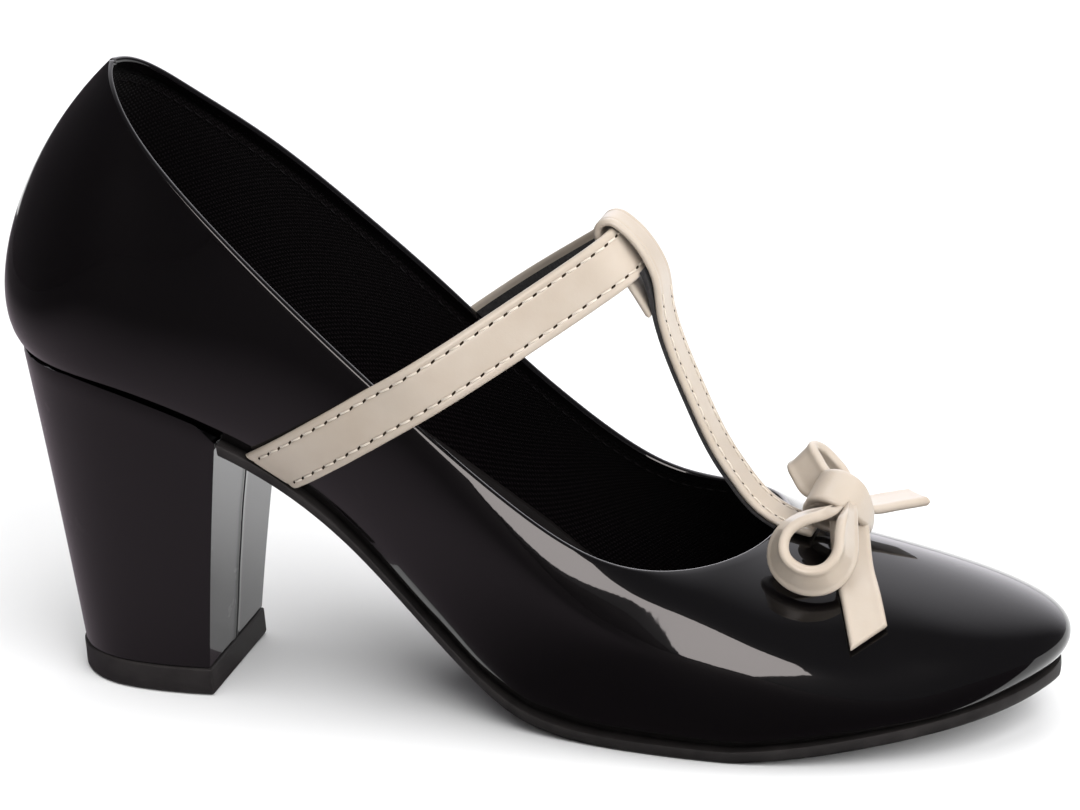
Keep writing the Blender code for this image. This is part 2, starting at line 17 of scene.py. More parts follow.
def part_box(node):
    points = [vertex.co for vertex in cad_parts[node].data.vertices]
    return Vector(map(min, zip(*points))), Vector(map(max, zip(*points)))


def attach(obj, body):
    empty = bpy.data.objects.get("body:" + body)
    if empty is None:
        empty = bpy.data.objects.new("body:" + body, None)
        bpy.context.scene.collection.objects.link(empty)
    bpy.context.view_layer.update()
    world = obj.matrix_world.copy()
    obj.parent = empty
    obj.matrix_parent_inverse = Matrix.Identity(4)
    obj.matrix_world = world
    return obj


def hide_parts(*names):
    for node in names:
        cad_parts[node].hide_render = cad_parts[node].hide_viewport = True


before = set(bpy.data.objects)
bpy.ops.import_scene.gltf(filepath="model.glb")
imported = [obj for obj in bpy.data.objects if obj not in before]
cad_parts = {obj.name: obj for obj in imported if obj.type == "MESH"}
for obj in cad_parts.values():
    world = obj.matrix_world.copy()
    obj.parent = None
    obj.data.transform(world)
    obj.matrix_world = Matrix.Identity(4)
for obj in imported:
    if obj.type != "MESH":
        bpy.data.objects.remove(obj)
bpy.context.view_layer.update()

MM = 0.001
scene = bpy.context.scene
print("solids:", sorted(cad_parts))

# %% [markdown]
# ## The camera
# The photograph looks down on the inner side of the shoe, a little from the toe, and the
# picture is turned a few degrees. A long lens far away keeps the lines nearly parallel.
# The camera could be aimed with a tracking constraint, but three angles and a place say
# exactly what it does, so its axes are written straight into its matrix.

# %% Camera
VIEW_SIDE = math.radians(21.0)
VIEW_DOWN = math.radians(23.0)
PICTURE_ROLL = math.radians(5.5)
CAMERA_PLACE = (0.48376, -1.25344, 0.6361)
LENS_MM = 226.3
SENSOR_MM = 36.0
FAR_CLIP_M = 50.0


def camera_matrix():
    """The camera's axes from its three angles, with its place."""
    right = Vector((math.cos(VIEW_SIDE), math.sin(VIEW_SIDE), 0.0))
    ahead = Vector((-math.sin(VIEW_SIDE) * math.cos(VIEW_DOWN),
                    math.cos(VIEW_SIDE) * math.cos(VIEW_DOWN), -math.sin(VIEW_DOWN)))
    up = right.cross(ahead)
    turned_right = math.cos(PICTURE_ROLL) * right - math.sin(PICTURE_ROLL) * up
    turned_up = math.sin(PICTURE_ROLL) * right + math.cos(PICTURE_ROLL) * up
    axes = Matrix((turned_right, turned_up, -ahead)).transposed().to_4x4()
    return Matrix.Translation(CAMERA_PLACE) @ axes


camera_data = bpy.data.cameras.new("camera")
camera_data.sensor_fit = "HORIZONTAL"
camera_data.sensor_width = SENSOR_MM
camera_data.lens = LENS_MM
camera_data.clip_end = FAR_CLIP_M
camera = bpy.data.objects.new("camera", camera_data)
camera.matrix_world = camera_matrix()
scene.collection.objects.link(camera)
scene.camera = camera
picture_angle = 2 * math.degrees(math.atan(SENSOR_MM / 2 / LENS_MM))
print("camera sees", round(picture_angle, 2), "degrees across")

# %% [markdown]
# ## The last in tables
# A shoe is built over a last, and a last is described by sections along the foot. These are
# the same sections that shaped the solids, in millimetres from the heel's back: the height of
# the bottom, the sideways curve that makes it a left shoe, and a row for each place round the
# foot that joins the feather line, where the leather turns under, to the topline.

# %% Tables of the last
GAP = 0.3
WALL = 1.7
FLAT_START = 146.0
FLAT_END = 168.0
TOE_X = 234.0
TOE_SPRING = 11.6
TOE_SPRING_POWER = 1.2

Bottom = namedtuple("Bottom", "place x z slope")
BOTTOM = (
    Bottom("heel_back", 0.0, 77.0, -0.12),
    Bottom("heel_seat", 28.0, 72.8, -0.24),
    Bottom("breast", 54.0, 64.0, -0.45),
    Bottom("shank", 80.0, 45.6, -0.98),
    Bottom("arch", 100.0, 23.2, -1.10),
    Bottom("ball_back", 122.0, 5.8, -0.30),
    Bottom("tread", FLAT_START, 3.3, 0.0),
)
Swing = namedtuple("Swing", "place x foot_shift top_shift outer_drop outer_flat")
SWING = (
    Swing("heel", 0.0, 0.0, 0.0, 0.0, 0.0),
    Swing("seat", 40.0, -0.4, -0.2, -0.8, 0.0),
    Swing("waist", 90.0, 0.4, -0.6, -1.9, 0.0),
    Swing("waist_front", 115.0, 1.5, -1.2, 1.9, 0.0),
    Swing("ball_back", 135.0, 2.6, -1.4, 3.2, 0.0),
    Swing("ball", 165.0, 3.0, -0.6, 0.8, 2.0),
    Swing("toe_side", 200.0, 1.0, 0.2, 0.0, 6.5),
    Swing("toe", 240.0, -2.8, -2.0, 0.0, -3.0),
)
Station = namedtuple("Station", "place foot_x foot_half top_x top_half top_z facing"
                                " low_out low_up high_out high_drop")
STATIONS = (
    Station("toe", 231.2, 0.0, 175.0, 0.0, 43.2, 0.0, 14.0, 8.5, 56.0, 13.0),
    Station("toe_corner", 226.8, 11.4, 174.4, 5.0, 42.9, 20.0, 13.5, 8.0, 49.0, 14.0),
    Station("toe_round", 216.8, 20.4, 172.4, 11.0, 42.2, 38.0, 12.0, 3.0, 34.0, 13.5),
    Station("toe_side", 202.0, 27.0, 168.0, 18.0, 41.7, 58.0, 12.0, 3.0, 23.0, 11.5),
    Station("ball_front", 184.0, 31.4, 160.5, 24.0, 41.6, 74.0, 11.0, 3.5, 15.0, 7.5),
    Station("ball", 164.0, 32.4, 150.0, 27.4, 42.6, 84.0, 10.0, 4.0, 11.0, 9.0),
    Station("ball_back", 142.0, 29.6, 136.0, 28.2, 47.6, 94.0, 9.0, 5.0, 7.0, 12.0),
    Station("waist_front", 120.0, 24.4, 118.0, 27.4, 60.0, 98.0, 9.0, 6.0, 4.0, 15.0),
    Station("waist", 97.0, 19.6, 97.0, 26.0, 77.6, 96.0, 9.0, 8.0, 2.0, 17.0),
    Station("waist_back", 75.0, 18.4, 77.0, 24.4, 96.0, 91.0, 8.0, 9.0, 2.0, 18.0),
    Station("breast", 53.0, 19.2, 58.0, 22.0, 114.5, 92.0, 7.5, 8.0, 3.0, 20.0),
    Station("heel_side", 32.0, 18.4, 43.0, 16.6, 129.0, 104.0, 7.0, 6.0, 8.0, 22.0),
    Station("heel_curve", 13.5, 12.4, 33.6, 8.6, 139.4, 140.0, 9.6, 5.0, 19.2, 24.0),
    Station("heel_back", 5.5, 0.0, 30.5, 0.0, 142.4, 180.0, 12.9, 4.5, 27.6, 24.5),
)
print(len(STATIONS), "sections a side,", TOE_X, "mm from heel to toe")

# %% [markdown]
# ## From tables to smooth curves
# A table only becomes a last when its rows are joined by curves that bend evenly. Blender's
# own curve objects could do it, but then each later piece would have to read points back from
# them. Two short spline functions keep everything in numbers: one that runs along the foot,
# and one that closes round the shoe.

# %% Curves along and round the last


def hermite(knots, values, slopes, place):
    """A smooth curve through values at knots with the given slopes, read at place."""
    place = np.asarray(place, float)
    k = np.clip(np.searchsorted(knots, place, side="right") - 1, 0, len(knots) - 2)
    span = knots[k + 1] - knots[k]
    t = (place - knots[k]) / span
    rise = values[k + 1] - values[k]
    a = slopes[k] * span - rise
    b = rise - slopes[k + 1] * span
    return values[k] + t * rise + t * (1 - t) * ((1 - t) * a + t * b)


def column(table, key):
    """One named column of a table as numbers."""
    return np.array([getattr(row, key) for row in table])


def table_curve(table, key, x):
    """A named column of a table as a smooth curve along the foot, read at x."""
    knots, values = column(table, "x"), column(table, key)
    return hermite(knots, values, np.gradient(values, knots), np.clip(x, knots[0], knots[-1]))


def bottom_height(x):
    """Height of the feather line above the floor at x along the foot."""
    x = np.asarray(x, float)
    knots, values, slopes = (column(BOTTOM, key) for key in ("x", "z", "slope"))
    back = hermite(knots, values, slopes, np.clip(x, knots[0], FLAT_START))
    back = back + slopes[0] * np.minimum(x - knots[0], 0)
    spring = np.clip(x - FLAT_END, 0, None) / (TOE_X - FLAT_END)
    return back + TOE_SPRING * spring ** TOE_SPRING_POWER


def swing(x, key):
    """Sideways shift of the centre line at x along the foot."""
    return table_curve(SWING, key, x)


def swung(points, key="foot_shift"):
    """The points with the left and right curve of the last put in."""
    points = np.array(points, float)
    points[..., 1] += swing(points[..., 0], key)
    return points


def closed_spline(knots, rows, place):
    """A smooth closed curve through rows at knots, read at place; the last knot closes it."""
    count = len(rows)
    span = np.diff(knots)
    slope = (np.roll(rows, -1, axis=0) - rows) / span[:, None]
    system = np.zeros((count, count))
    for i in range(count):
        system[i, i - 1] += span[i - 1]
        system[i, i] += 2 * (span[i - 1] + span[i])
        system[i, (i + 1) % count] += span[i]
    bend = np.linalg.solve(system, 6 * (slope - np.roll(slope, 1, axis=0)))
    place = np.mod(place, knots[-1])
    k = np.clip(np.searchsorted(knots, place, side="right") - 1, 0, count - 1)
    after = (k + 1) % count
    h = span[k][:, None]
    t = (place - knots[k])[:, None]
    curve = rows[k] + t * (slope[k] - h * (2 * bend[k] + bend[after]) / 6)
    return curve + t ** 2 * bend[k] / 2 + t ** 3 * (bend[after] - bend[k]) / (6 * h)


print("feather line at the heel and the ball:", bottom_height([5.0, 157.0]).round(1), "mm up")

# %% [markdown]
# ## The outside of the upper
# Each section is one curve that leaves the feather line outward, swells and leans in to the
# topline, as leather does when it is pulled over a last. Two handles per section set the
# swell. Read across all sections, they give one surface with two places on it: how far round
# the shoe, and how far up the wall. All that touches the upper is found on this surface.

# %% Surface of the last
OUTER_BLEND = 50.0
PLACE_STEP = 1e-4
SEARCH_STEPS = 40
SEARCH_REACH = 0.04
HALVINGS = 50
INNER_PLACES = (0.05, 0.45)
TOPLINE_POINTS = 721


def station_loop():
    """The sections of both sides, near side first, with their places round the shoe."""
    rows = []
    for side, order in ((-1.0, STATIONS), (1.0, STATIONS[-2:0:-1])):
        for s in order:
            out_x = math.cos(math.radians(s.facing))
            out_y = side * math.sin(math.radians(s.facing))
            rows.append((s.foot_x, side * s.foot_half, s.top_x, side * s.top_half, s.top_z,
                         out_x * s.low_out, out_y * s.low_out, s.low_up,
                         out_x * s.high_out, out_y * s.high_out, -s.high_drop, out_x, out_y))
    rows = np.array(rows)
    step = np.linalg.norm(np.roll(rows, -1, axis=0)[:, :2] - rows[:, :2], axis=1)
    knots = np.concatenate([[0.0], np.cumsum(step)])
    return knots / knots[-1], rows


LOOP_KNOTS, LOOP_ROWS = station_loop()


def outer_share(points):
    """How far each point counts as outer side, from 0 to 1."""
    return np.clip(0.5 + points[:, 1] / OUTER_BLEND, 0, 1)


def upper_outside(round_place, up_place):
    """Points on the outside: round_place 0 to 1 from the toe along the inner side of the
    foot, up_place 0 to 1 from the feather line to the topline."""
    shape = np.broadcast(round_place, up_place).shape
    u = np.broadcast_to(round_place, shape).ravel()
    v = np.broadcast_to(up_place, shape).reshape(-1, 1)
    c = closed_spline(LOOP_KNOTS, LOOP_ROWS, u)
    foot = np.column_stack([c[:, 0], c[:, 1], bottom_height(c[:, 0])])
    top = c[:, 2:5]
    top[:, 2] -= swing(top[:, 0], "outer_drop") * outer_share(top)
    low = swung(foot + c[:, 5:8])
    high = swung(top + c[:, 8:11], "top_shift")
    high[:, 2] -= swing(high[:, 0], "outer_flat") * outer_share(high)
    w = 1 - v
    points = w ** 3 * swung(foot) + 3 * w ** 2 * v * low
    points += 3 * w * v ** 2 * high + v ** 3 * swung(top, "top_shift")
    return points.reshape(shape + (3,))


def unit(vectors):
    """The vectors at length one."""
    return vectors / np.linalg.norm(vectors, axis=-1, keepdims=True)


def upper_normal(round_place, up_place):
    """Outward unit normals of the upper's outside at the same places."""
    d = PLACE_STEP
    up_place = np.clip(up_place, d, 1 - d)
    along = upper_outside(round_place + d, up_place) - upper_outside(round_place - d, up_place)
    up = upper_outside(round_place, up_place + d) - upper_outside(round_place, up_place - d)
    return unit(np.cross(up, along))


def find_on_upper(keep, target, start):
    """Place on the outside whose coordinates named by keep match target, from start."""
    keep = list(keep)
    place = np.array(start, float)
    step = PLACE_STEP
    for _ in range(SEARCH_STEPS):
        here = upper_outside(place[:1], place[1:])[0]
        round_step = (upper_outside(place[:1] + step, place[1:])[0] - here)[keep] / step
        up_step = (upper_outside(place[:1], place[1:] + step)[0] - here)[keep] / step
        move = np.linalg.solve(np.column_stack([round_step, up_step]), target - here[keep])
        place += np.clip(move, -SEARCH_REACH, SEARCH_REACH)
        place[1] = np.clip(place[1], 0.0, 1.0)
    return place


def feather_outline(u, ledge):
    """The feather line at u, moved out by ledge, before the swing is put in: x, y."""
    c = closed_spline(LOOP_KNOTS, LOOP_ROWS, np.atleast_1d(u))
    return c[:, :2] + np.reshape(ledge, (-1, 1)) * unit(c[:, 11:13])


def place_at_x(x, ledge):
    """Place round the inner side of the shoe where the outline reaches x."""
    low, high = INNER_PLACES
    for _ in range(HALVINGS):
        middle = (low + high) / 2
        if feather_outline(middle, ledge)[0, 0] > x:
            low = middle
        else:
            high = middle
    return (low + high) / 2


topline = upper_outside(np.linspace(0, 1, TOPLINE_POINTS), 1.0)
topline_length = np.linalg.norm(np.diff(topline, axis=0), axis=1).sum()
print("topline runs", round(topline_length), "mm round the foot")

# %% [markdown]
# ## From points to a piece
# The helpers below turn rows of points into faces, put the shoe's own frame where the solids
# stand, hang each piece on the shoe's root and hide the solid that it stands for. The shoe's
# frame starts at the heel's back, and the imported one under the middle of the shoe, so the
# shift between them is read from the heel tip's own box.

# %% Helpers for pieces
HEEL_TIP_THICK = 6.5
BREAST_TOP_X = 54.2
BREAST_FOOT_X = 44.4
HEEL_FOOT_BACK_X = 9.0
HEEL_FOOT_HALF = 16.0
SOLE_LEDGE = 2.6
HEEL_TIP_GROW = 1.025
BEVEL_STEPS = 3
OUTLINE_POINTS = 33


def heel_outline(shrink, count=OUTLINE_POINTS):
    """The outline round the heel, from the seat drawn in to the foot of the heel: x, y."""
    first = place_at_x(BREAST_TOP_X, SOLE_LEDGE)
    places = np.linspace(first, 1 - first, count)
    seat = np.vstack([feather_outline(u, SOLE_LEDGE) for u in places])
    depth = (BREAST_FOOT_X - HEEL_FOOT_BACK_X) / (BREAST_TOP_X - seat[:, 0].min())
    foot_x = BREAST_FOOT_X - (BREAST_TOP_X - seat[:, 0]) * depth
    foot_y = seat[:, 1] * HEEL_FOOT_HALF / seat[:, 1].max()
    return seat * (1 - shrink) + np.column_stack([foot_x, foot_y]) * shrink


def heel_tip_outline(grow, z, count=OUTLINE_POINTS):
    """One level of the heel's top piece, a little wider than the heel's foot."""
    middle = np.array([(BREAST_FOOT_X + HEEL_FOOT_BACK_X) / 2, 0.0])
    wide = middle + (heel_outline(1.0, count) - middle) * grow
    return swung(np.column_stack([wide, np.full(count, z)]))


tip_corner = heel_tip_outline(HEEL_TIP_GROW, 0.0).min(axis=0)
stand = np.array(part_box("heel_tip")[0]) - tip_corner * MM
stand[2] = 0.0


def grid_faces(rows, columns, close_rows=False, close_columns=False):
    """Quads between neighbouring points of a grid that is stored row by row."""
    i = np.arange(rows if close_rows else rows - 1)[:, None]
    k = np.arange(columns if close_columns else columns - 1)[None, :]
    after_i, after_k = (i + 1) % rows, (k + 1) % columns
    quads = np.broadcast_arrays(i * columns + k, i * columns + after_k,
                                after_i * columns + after_k, after_i * columns + k)
    return np.stack(quads, axis=-1).reshape(-1, 4)


def tube_faces(rows, steps):
    """Faces of a tube through rings of points, with one face over each end."""
    ends = [list(range(steps))[::-1], list(range((rows - 1) * steps, rows * steps))]
    return grid_faces(rows, steps, False, True).tolist() + ends


def make_piece(name, points, faces, finishes, stands_for=(), paint=None, maps=None,
               crease=45.0):
    """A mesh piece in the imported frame, riding on the shoe, with its finishes and maps."""
    mesh = bpy.data.meshes.new(name)
    placed = np.asarray(points) * MM + stand
    mesh.from_pydata(placed.tolist(), [], [list(map(int, f)) for f in faces])
    for finish in finishes:
        mesh.materials.append(finish)
    if paint is not None:
        mesh.polygons.foreach_set("material_index", np.asarray(paint, np.int32))
    if maps is not None:
        corner = np.zeros(len(mesh.loops), np.int32)
        mesh.loops.foreach_get("vertex_index", corner)
        layer = mesh.uv_layers.new(name="thread_map")
        layer.uv.foreach_set("vector", np.asarray(maps, np.float32)[corner].ravel())
    mesh.shade_smooth()
    mesh.set_sharp_from_angle(angle=math.radians(crease))
    mesh.validate()
    piece = bpy.data.objects.new(name, mesh)
    scene.collection.objects.link(piece)
    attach(piece, "root")
    if stands_for:
        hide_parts(*stands_for)
    triangles = sum(len(p.vertices) - 2 for p in mesh.polygons)
    print(f"{name}: {len(mesh.vertices)} points, {triangles} triangles")
    return piece


def loft(name, rings, finishes, stands_for, paint=None, crease=45.0):
    """A closed piece through rings of points."""
    faces = tube_faces(*rings.shape[:2])
    return make_piece(name, rings.reshape(-1, 3), faces, finishes, stands_for, paint,
                      crease=crease)


def add_bevel(piece, width, angle):
    """Round the piece's sharp edges, as leather is rounded over an edge."""
    bevel = piece.modifiers.new("rounded_edges", "BEVEL")
    bevel.width = width * MM
    bevel.segments = BEVEL_STEPS
    bevel.limit_method = "ANGLE"
    bevel.angle_limit = math.radians(angle)
    bevel.harden_normals = True


print("the shoe's frame is shifted by", (stand * 1000).round(2), "mm")

# %% [markdown]
# ## Finishes as node trees
# Each surface on the shoe needs more than a colour: lacquer ripples a little, cloth shows its
# threads, rubber is dull and grainy. Pictures could be wrapped round the pieces, but noise and
# waves made by nodes keep their grain at any distance and need no files. A few helpers make
# the node trees short to write. Values that are the same all over go straight to the shader.

# %% Helpers for finishes


def new_finish(name, colour, roughness, **sockets):
    """A material with its shader's even values set: its tree and shader come with it."""
    material = bpy.data.materials.new(name)
    material.use_nodes = True
    tree = material.node_tree
    shader = tree.nodes["Principled BSDF"]
    shader.inputs["Base Color"].default_value = (*colour, 1.0)
    shader.inputs["Roughness"].default_value = roughness
    for key, value in sockets.items():
        shader.inputs[key.replace("_", " ")].default_value = value
    return material, tree, shader


def add_node(tree, kind, inputs=(), **settings):
    """One node with its settings; inputs maps a socket to a value or to an output."""
    made = tree.nodes.new(kind)
    for key, value in settings.items():
        setattr(made, key, value)
    for key, value in dict(inputs).items():
        if isinstance(value, bpy.types.NodeSocket):
            tree.links.new(value, made.inputs[key])
        else:
            made.inputs[key].default_value = value
    return made


def shoe_place(tree):
    """The place on the shoe, in metres, which stays with the piece."""
    return add_node(tree, "ShaderNodeTexCoord").outputs["Object"]


def grain(tree, size_mm, detail=2.0, roughness=0.5):
    """Noise whose blotches are about size_mm across."""
    inputs = {"Vector": shoe_place(tree), "Scale": 1000.0 / size_mm, "Detail": detail,
              "Roughness": roughness}
    return add_node(tree, "ShaderNodeTexNoise", inputs).outputs["Fac"]


def sums(tree, operation, first, second=0.0):
    """One sum with two numbers."""
    return add_node(tree, "ShaderNodeMath", {0: first, 1: second}, operation=operation).outputs[0]


def relief(tree, height, depth_mm, under=None):
    """A bump of the given depth, laid over another one if it is named."""
    inputs = {"Height": height, "Distance": depth_mm * MM, "Strength": 1.0}
    if under is not None:
        inputs["Normal"] = under
    return add_node(tree, "ShaderNodeBump", inputs).outputs["Normal"]


def between(tree, share, low, high):
    """A number from low to high by a share from 0 to 1."""
    inputs = {"Value": share, "To Min": low, "To Max": high}
    return add_node(tree, "ShaderNodeMapRange", inputs).outputs[0]


def tint(tree, share, low, high, start=0.3, end=0.7):
    """A colour from low to high as the share goes from start to end."""
    ramp = add_node(tree, "ShaderNodeValToRGB", {"Fac": share})
    for element, place, colour in zip(ramp.color_ramp.elements, (start, end), (low, high)):
        element.position = place
        element.color = (*colour, 1.0)
    return ramp.outputs["Color"]


def wire(tree, shader, **outputs):
    """Link outputs of the tree to the shader's sockets of those names."""
    for key, output in outputs.items():
        tree.links.new(output, shader.inputs[key.replace("_", " ")])


def grained_finish(name, colour, roughness, bump, tone, dark, light, **sockets):
    """A finish with a bump of (size, detail, depth) and a tone of (size, detail) on it."""
    material, tree, shader = new_finish(name, colour, roughness, **sockets)
    if bump:
        size, detail, depth = bump
        wire(tree, shader, Normal=relief(tree, grain(tree, size, detail), depth))
    wire(tree, shader, Base_Color=tint(tree, grain(tree, *tone), dark, light))
    return material


print("helpers for finishes are ready")

# %% [markdown]
# ## Black patent
# Patent leather is a black base under a thick clear lacquer. The lacquer mirrors the room,
# with a slow ripple from the leather below and a very fine orange-peel. A single glossy
# shader could do it, but a coat over a duller base keeps both the sharp mirror and the soft
# shine that sits under it.

# %% Patent finish
patent, tree, shader = new_finish("patent_leather", (0.0008, 0.0006, 0.0008), 0.28, IOR=1.5,
                                  Coat_Weight=1.0, Coat_Roughness=0.035, Coat_IOR=1.52,
                                  Specular_IOR_Level=0.05)
ripple = relief(tree, grain(tree, 26.0, 1.0), 0.10)
peel = relief(tree, grain(tree, 2.2, 1.0), 0.006, ripple)
dust = grain(tree, 9.0, 4.0, 0.6)
wire(tree, shader, Normal=ripple, Coat_Normal=peel, Roughness=between(tree, dust, 0.24, 0.34))
print("patent:", len(tree.nodes), "nodes")

# %% [markdown]
# ## Woven lining, sock and rubber
# The inside is lined with a coarse black cloth, whose threads cross about twice a millimetre.
# Its map runs round the shoe and up the wall in millimetres, so two waves across that map
# give threads of even size. The sock under the foot is a smooth satin sheet, and the sole and
# heel tip are dull moulded rubber.

# %% Lining, sock and rubber finishes
THREAD_PITCH = 0.55


def thread_wave(tree, axis):
    """A sine along one axis of the piece's own map, one wave per two threads."""
    place = add_node(tree, "ShaderNodeUVMap", uv_map="thread_map").outputs["UV"]
    parts = add_node(tree, "ShaderNodeSeparateXYZ", {"Vector": place})
    return sums(tree, "SINE", sums(tree, "MULTIPLY", parts.outputs[axis], math.pi / THREAD_PITCH))


lining_cloth, tree, shader = new_finish("lining_canvas", (0.002, 0.0017, 0.002), 0.85,
                                        Sheen_Weight=0.03, Sheen_Roughness=0.45,
                                        Specular_IOR_Level=0.06)
crossing = sums(tree, "MULTIPLY", thread_wave(tree, "X"), thread_wave(tree, "Y"))
fuzz = sums(tree, "MULTIPLY", grain(tree, 0.5, 2.0), 0.5)
weave = sums(tree, "ADD", between(tree, crossing, 0.2, 1.0), fuzz)
wire(tree, shader, Normal=relief(tree, weave, 0.22),
     Base_Color=tint(tree, weave, (0.0003, 0.00022, 0.0003), (0.0058, 0.0043, 0.005), 0.35, 1.0))

sock = grained_finish("satin_sock", (0.007, 0.006, 0.006), 0.42, (0.7, 3.0, 0.03), (14.0, 3.0),
                      (0.005, 0.0043, 0.0043), (0.009, 0.0078, 0.0078), Specular_IOR_Level=0.15)

rubber, tree, shader = new_finish("moulded_rubber", (0.014, 0.0125, 0.0125), 0.6,
                                  Specular_IOR_Level=0.35)
rub = grain(tree, 6.0, 4.0, 0.6)
wire(tree, shader, Normal=relief(tree, grain(tree, 0.45, 4.0, 0.6), 0.05),
     Base_Color=tint(tree, rub, (0.010, 0.009, 0.009), (0.022, 0.0195, 0.019)),
     Roughness=between(tree, rub, 0.5, 0.75))
print("threads cross every", THREAD_PITCH, "mm")

# %% [markdown]
# ## The upper, one hollow piece
# A real upper is one thin wall: patent outside, turned over at the topline, and cloth inside.
# A sheet with a thickness modifier would leave a square edge, so here each section of the wall
# is one closed ring of points: up the outside, round the rolled edge, down a narrow patent
# facing, over a small step and down the lining. The back seam is a soft groove between two
# shoulders, and a few shallow troughs stand where the leather is pulled round the arch.

# %% Upper
UPPER_PLACES = 300
WALL_STEPS = 49
ROLL_STEPS = 9
CLOTH_STEPS = 30
FACING_DEPTH = 2.6
LINING_STEP = 0.35
LINING_STEP_RUN = 0.35
LINING_START = 1.2
SEAM_PLACE = 0.5
SEAM_PLACES = 31
SEAM_REACH = 0.008
SEAM_CLEAR = 0.0085
SEAM_DEPTH = 0.42
SEAM_WIDTH = 0.7
SHOULDER_RISE = 0.28
SHOULDER_WIDTH = 2.4
UPPER_CREASE = 60.0

Trough = namedtuple("Trough", "place x side up long tall depth")
TROUGHS = (
    Trough("arch_low", 104.0, -1, 0.10, 5.0, 0.10, 0.25),
    Trough("arch_front", 116.0, -1, 0.08, 4.5, 0.09, 0.30),
    Trough("ball_back", 128.0, -1, 0.07, 5.0, 0.08, 0.25),
    Trough("arch_outer", 108.0, 1, 0.09, 5.0, 0.10, 0.25),
    Trough("ball_outer", 124.0, 1, 0.07, 5.0, 0.08, 0.25),
    Trough("toe_tuck", 226.0, -1, 0.05, 4.0, 0.05, 0.12),
    Trough("toe_tuck_outer", 222.0, 1, 0.05, 4.0, 0.05, 0.12),
)


def upper_places():
    """Places round the shoe, closer together at the back seam."""
    even = np.arange(UPPER_PLACES) / UPPER_PLACES
    seam = SEAM_PLACE + np.linspace(-SEAM_REACH, SEAM_REACH, SEAM_PLACES)
    kept = even[np.abs(even - SEAM_PLACE) > SEAM_CLEAR]
    return np.sort(np.concatenate([kept, seam]))


def seam_lift(u):
    """The back seam: a groove between two shoulders, by the place round the shoe."""
    off = (u - SEAM_PLACE) * topline_length
    shoulders = SHOULDER_RISE * np.exp(-(off / SHOULDER_WIDTH) ** 2)
    return shoulders - SEAM_DEPTH * np.exp(-(off / SEAM_WIDTH) ** 2)


def trough_lift(points, v):
    """Soft troughs of the pulled leather at the points of the wall."""
    lift = np.zeros(points.shape[:-1])
    for t in TROUGHS:
        near = np.exp(-((points[..., 0] - t.x) / t.long) ** 2 - ((v - t.up) / t.tall) ** 2)
        lift -= t.depth * near * (points[..., 1] * t.side > 0)
    return lift


def wall_length(u, v):
    """Length of the outside up the wall at each place round the shoe."""
    wall = upper_outside(u[:, None], v[None])
    return np.linalg.norm(np.diff(wall, axis=1), axis=2).sum(axis=1)


def upper_rings():
    """Closed sections of the wall, their maps, and the step where the cloth starts."""
    u = upper_places()[:, None]
    outside_v = np.linspace(0, 1, WALL_STEPS)[None, :]
    outside = upper_outside(u, outside_v)
    normal = upper_normal(u, outside_v)
    lift = trough_lift(outside, outside_v) + seam_lift(u)
    outside = outside + normal * lift[..., None]
    rise = unit(outside[:, -1] - outside[:, -2])
    edge_out = normal[:, -1]
    turn = np.linspace(0, np.pi, ROLL_STEPS + 2)[1:-1][None, :, None]
    middle = outside[:, -1] - edge_out * WALL / 2
    over = np.cos(turn) * edge_out[:, None] + np.sin(turn) * rise[:, None]
    roll = middle[:, None] + WALL / 2 * over
    length = wall_length(u[:, 0], outside_v[0])[:, None]
    facing = 1 - FACING_DEPTH / length
    step = 1 - (FACING_DEPTH + LINING_STEP_RUN) / length
    inside_v = np.hstack([np.ones_like(facing), 0.5 + facing / 2, facing])
    cloth_v = np.hstack([step, step - LINING_START / length])
    cloth_v = np.hstack([cloth_v, cloth_v[:, -1:] * np.linspace(1, 0, CLOTH_STEPS)[None, 1:]])
    inside = upper_outside(u, inside_v) - WALL * upper_normal(u, inside_v)
    deep = WALL + np.where(np.arange(cloth_v.shape[1]) == 0, -LINING_STEP, 0.0)[None, :, None]
    cloth = upper_outside(u, cloth_v) - deep * upper_normal(u, cloth_v)
    rings = np.concatenate([outside, roll, inside, cloth], axis=1)
    step_length = np.linalg.norm(np.diff(rings, axis=1), axis=2).mean(axis=0)
    across = np.concatenate([[0], np.cumsum(step_length)])
    along = np.broadcast_to(u * topline_length, rings.shape[:2])
    maps = np.stack([along, np.broadcast_to(across, rings.shape[:2])], axis=-1)
    first_cloth = outside.shape[1] + roll.shape[1] + inside.shape[1]
    return rings, maps, first_cloth


rings, maps, first_cloth = upper_rings()
rows, steps = rings.shape[:2]
faces = grid_faces(rows, steps, True, True)[:, ::-1]
step_of_face = np.tile(np.arange(steps), rows)
is_cloth = (step_of_face >= first_cloth - 1) & (step_of_face < steps - 1)
make_piece("upper", rings.reshape(-1, 3), faces, [patent, lining_cloth], ["upper"],
           is_cloth, maps.reshape(-1, 2), UPPER_CREASE)

# %% [markdown]
# ## Insole
# The insole is the satin sheet that the foot stands on. It fills the inside of the wall just
# above the turned-under edge, so its outline is searched for on the inside of the upper at
# each section. Its top is a little hollow, and at the waist its edge turns up along the wall
# as a thin lip, which is the grey strip that shows over the near topline.

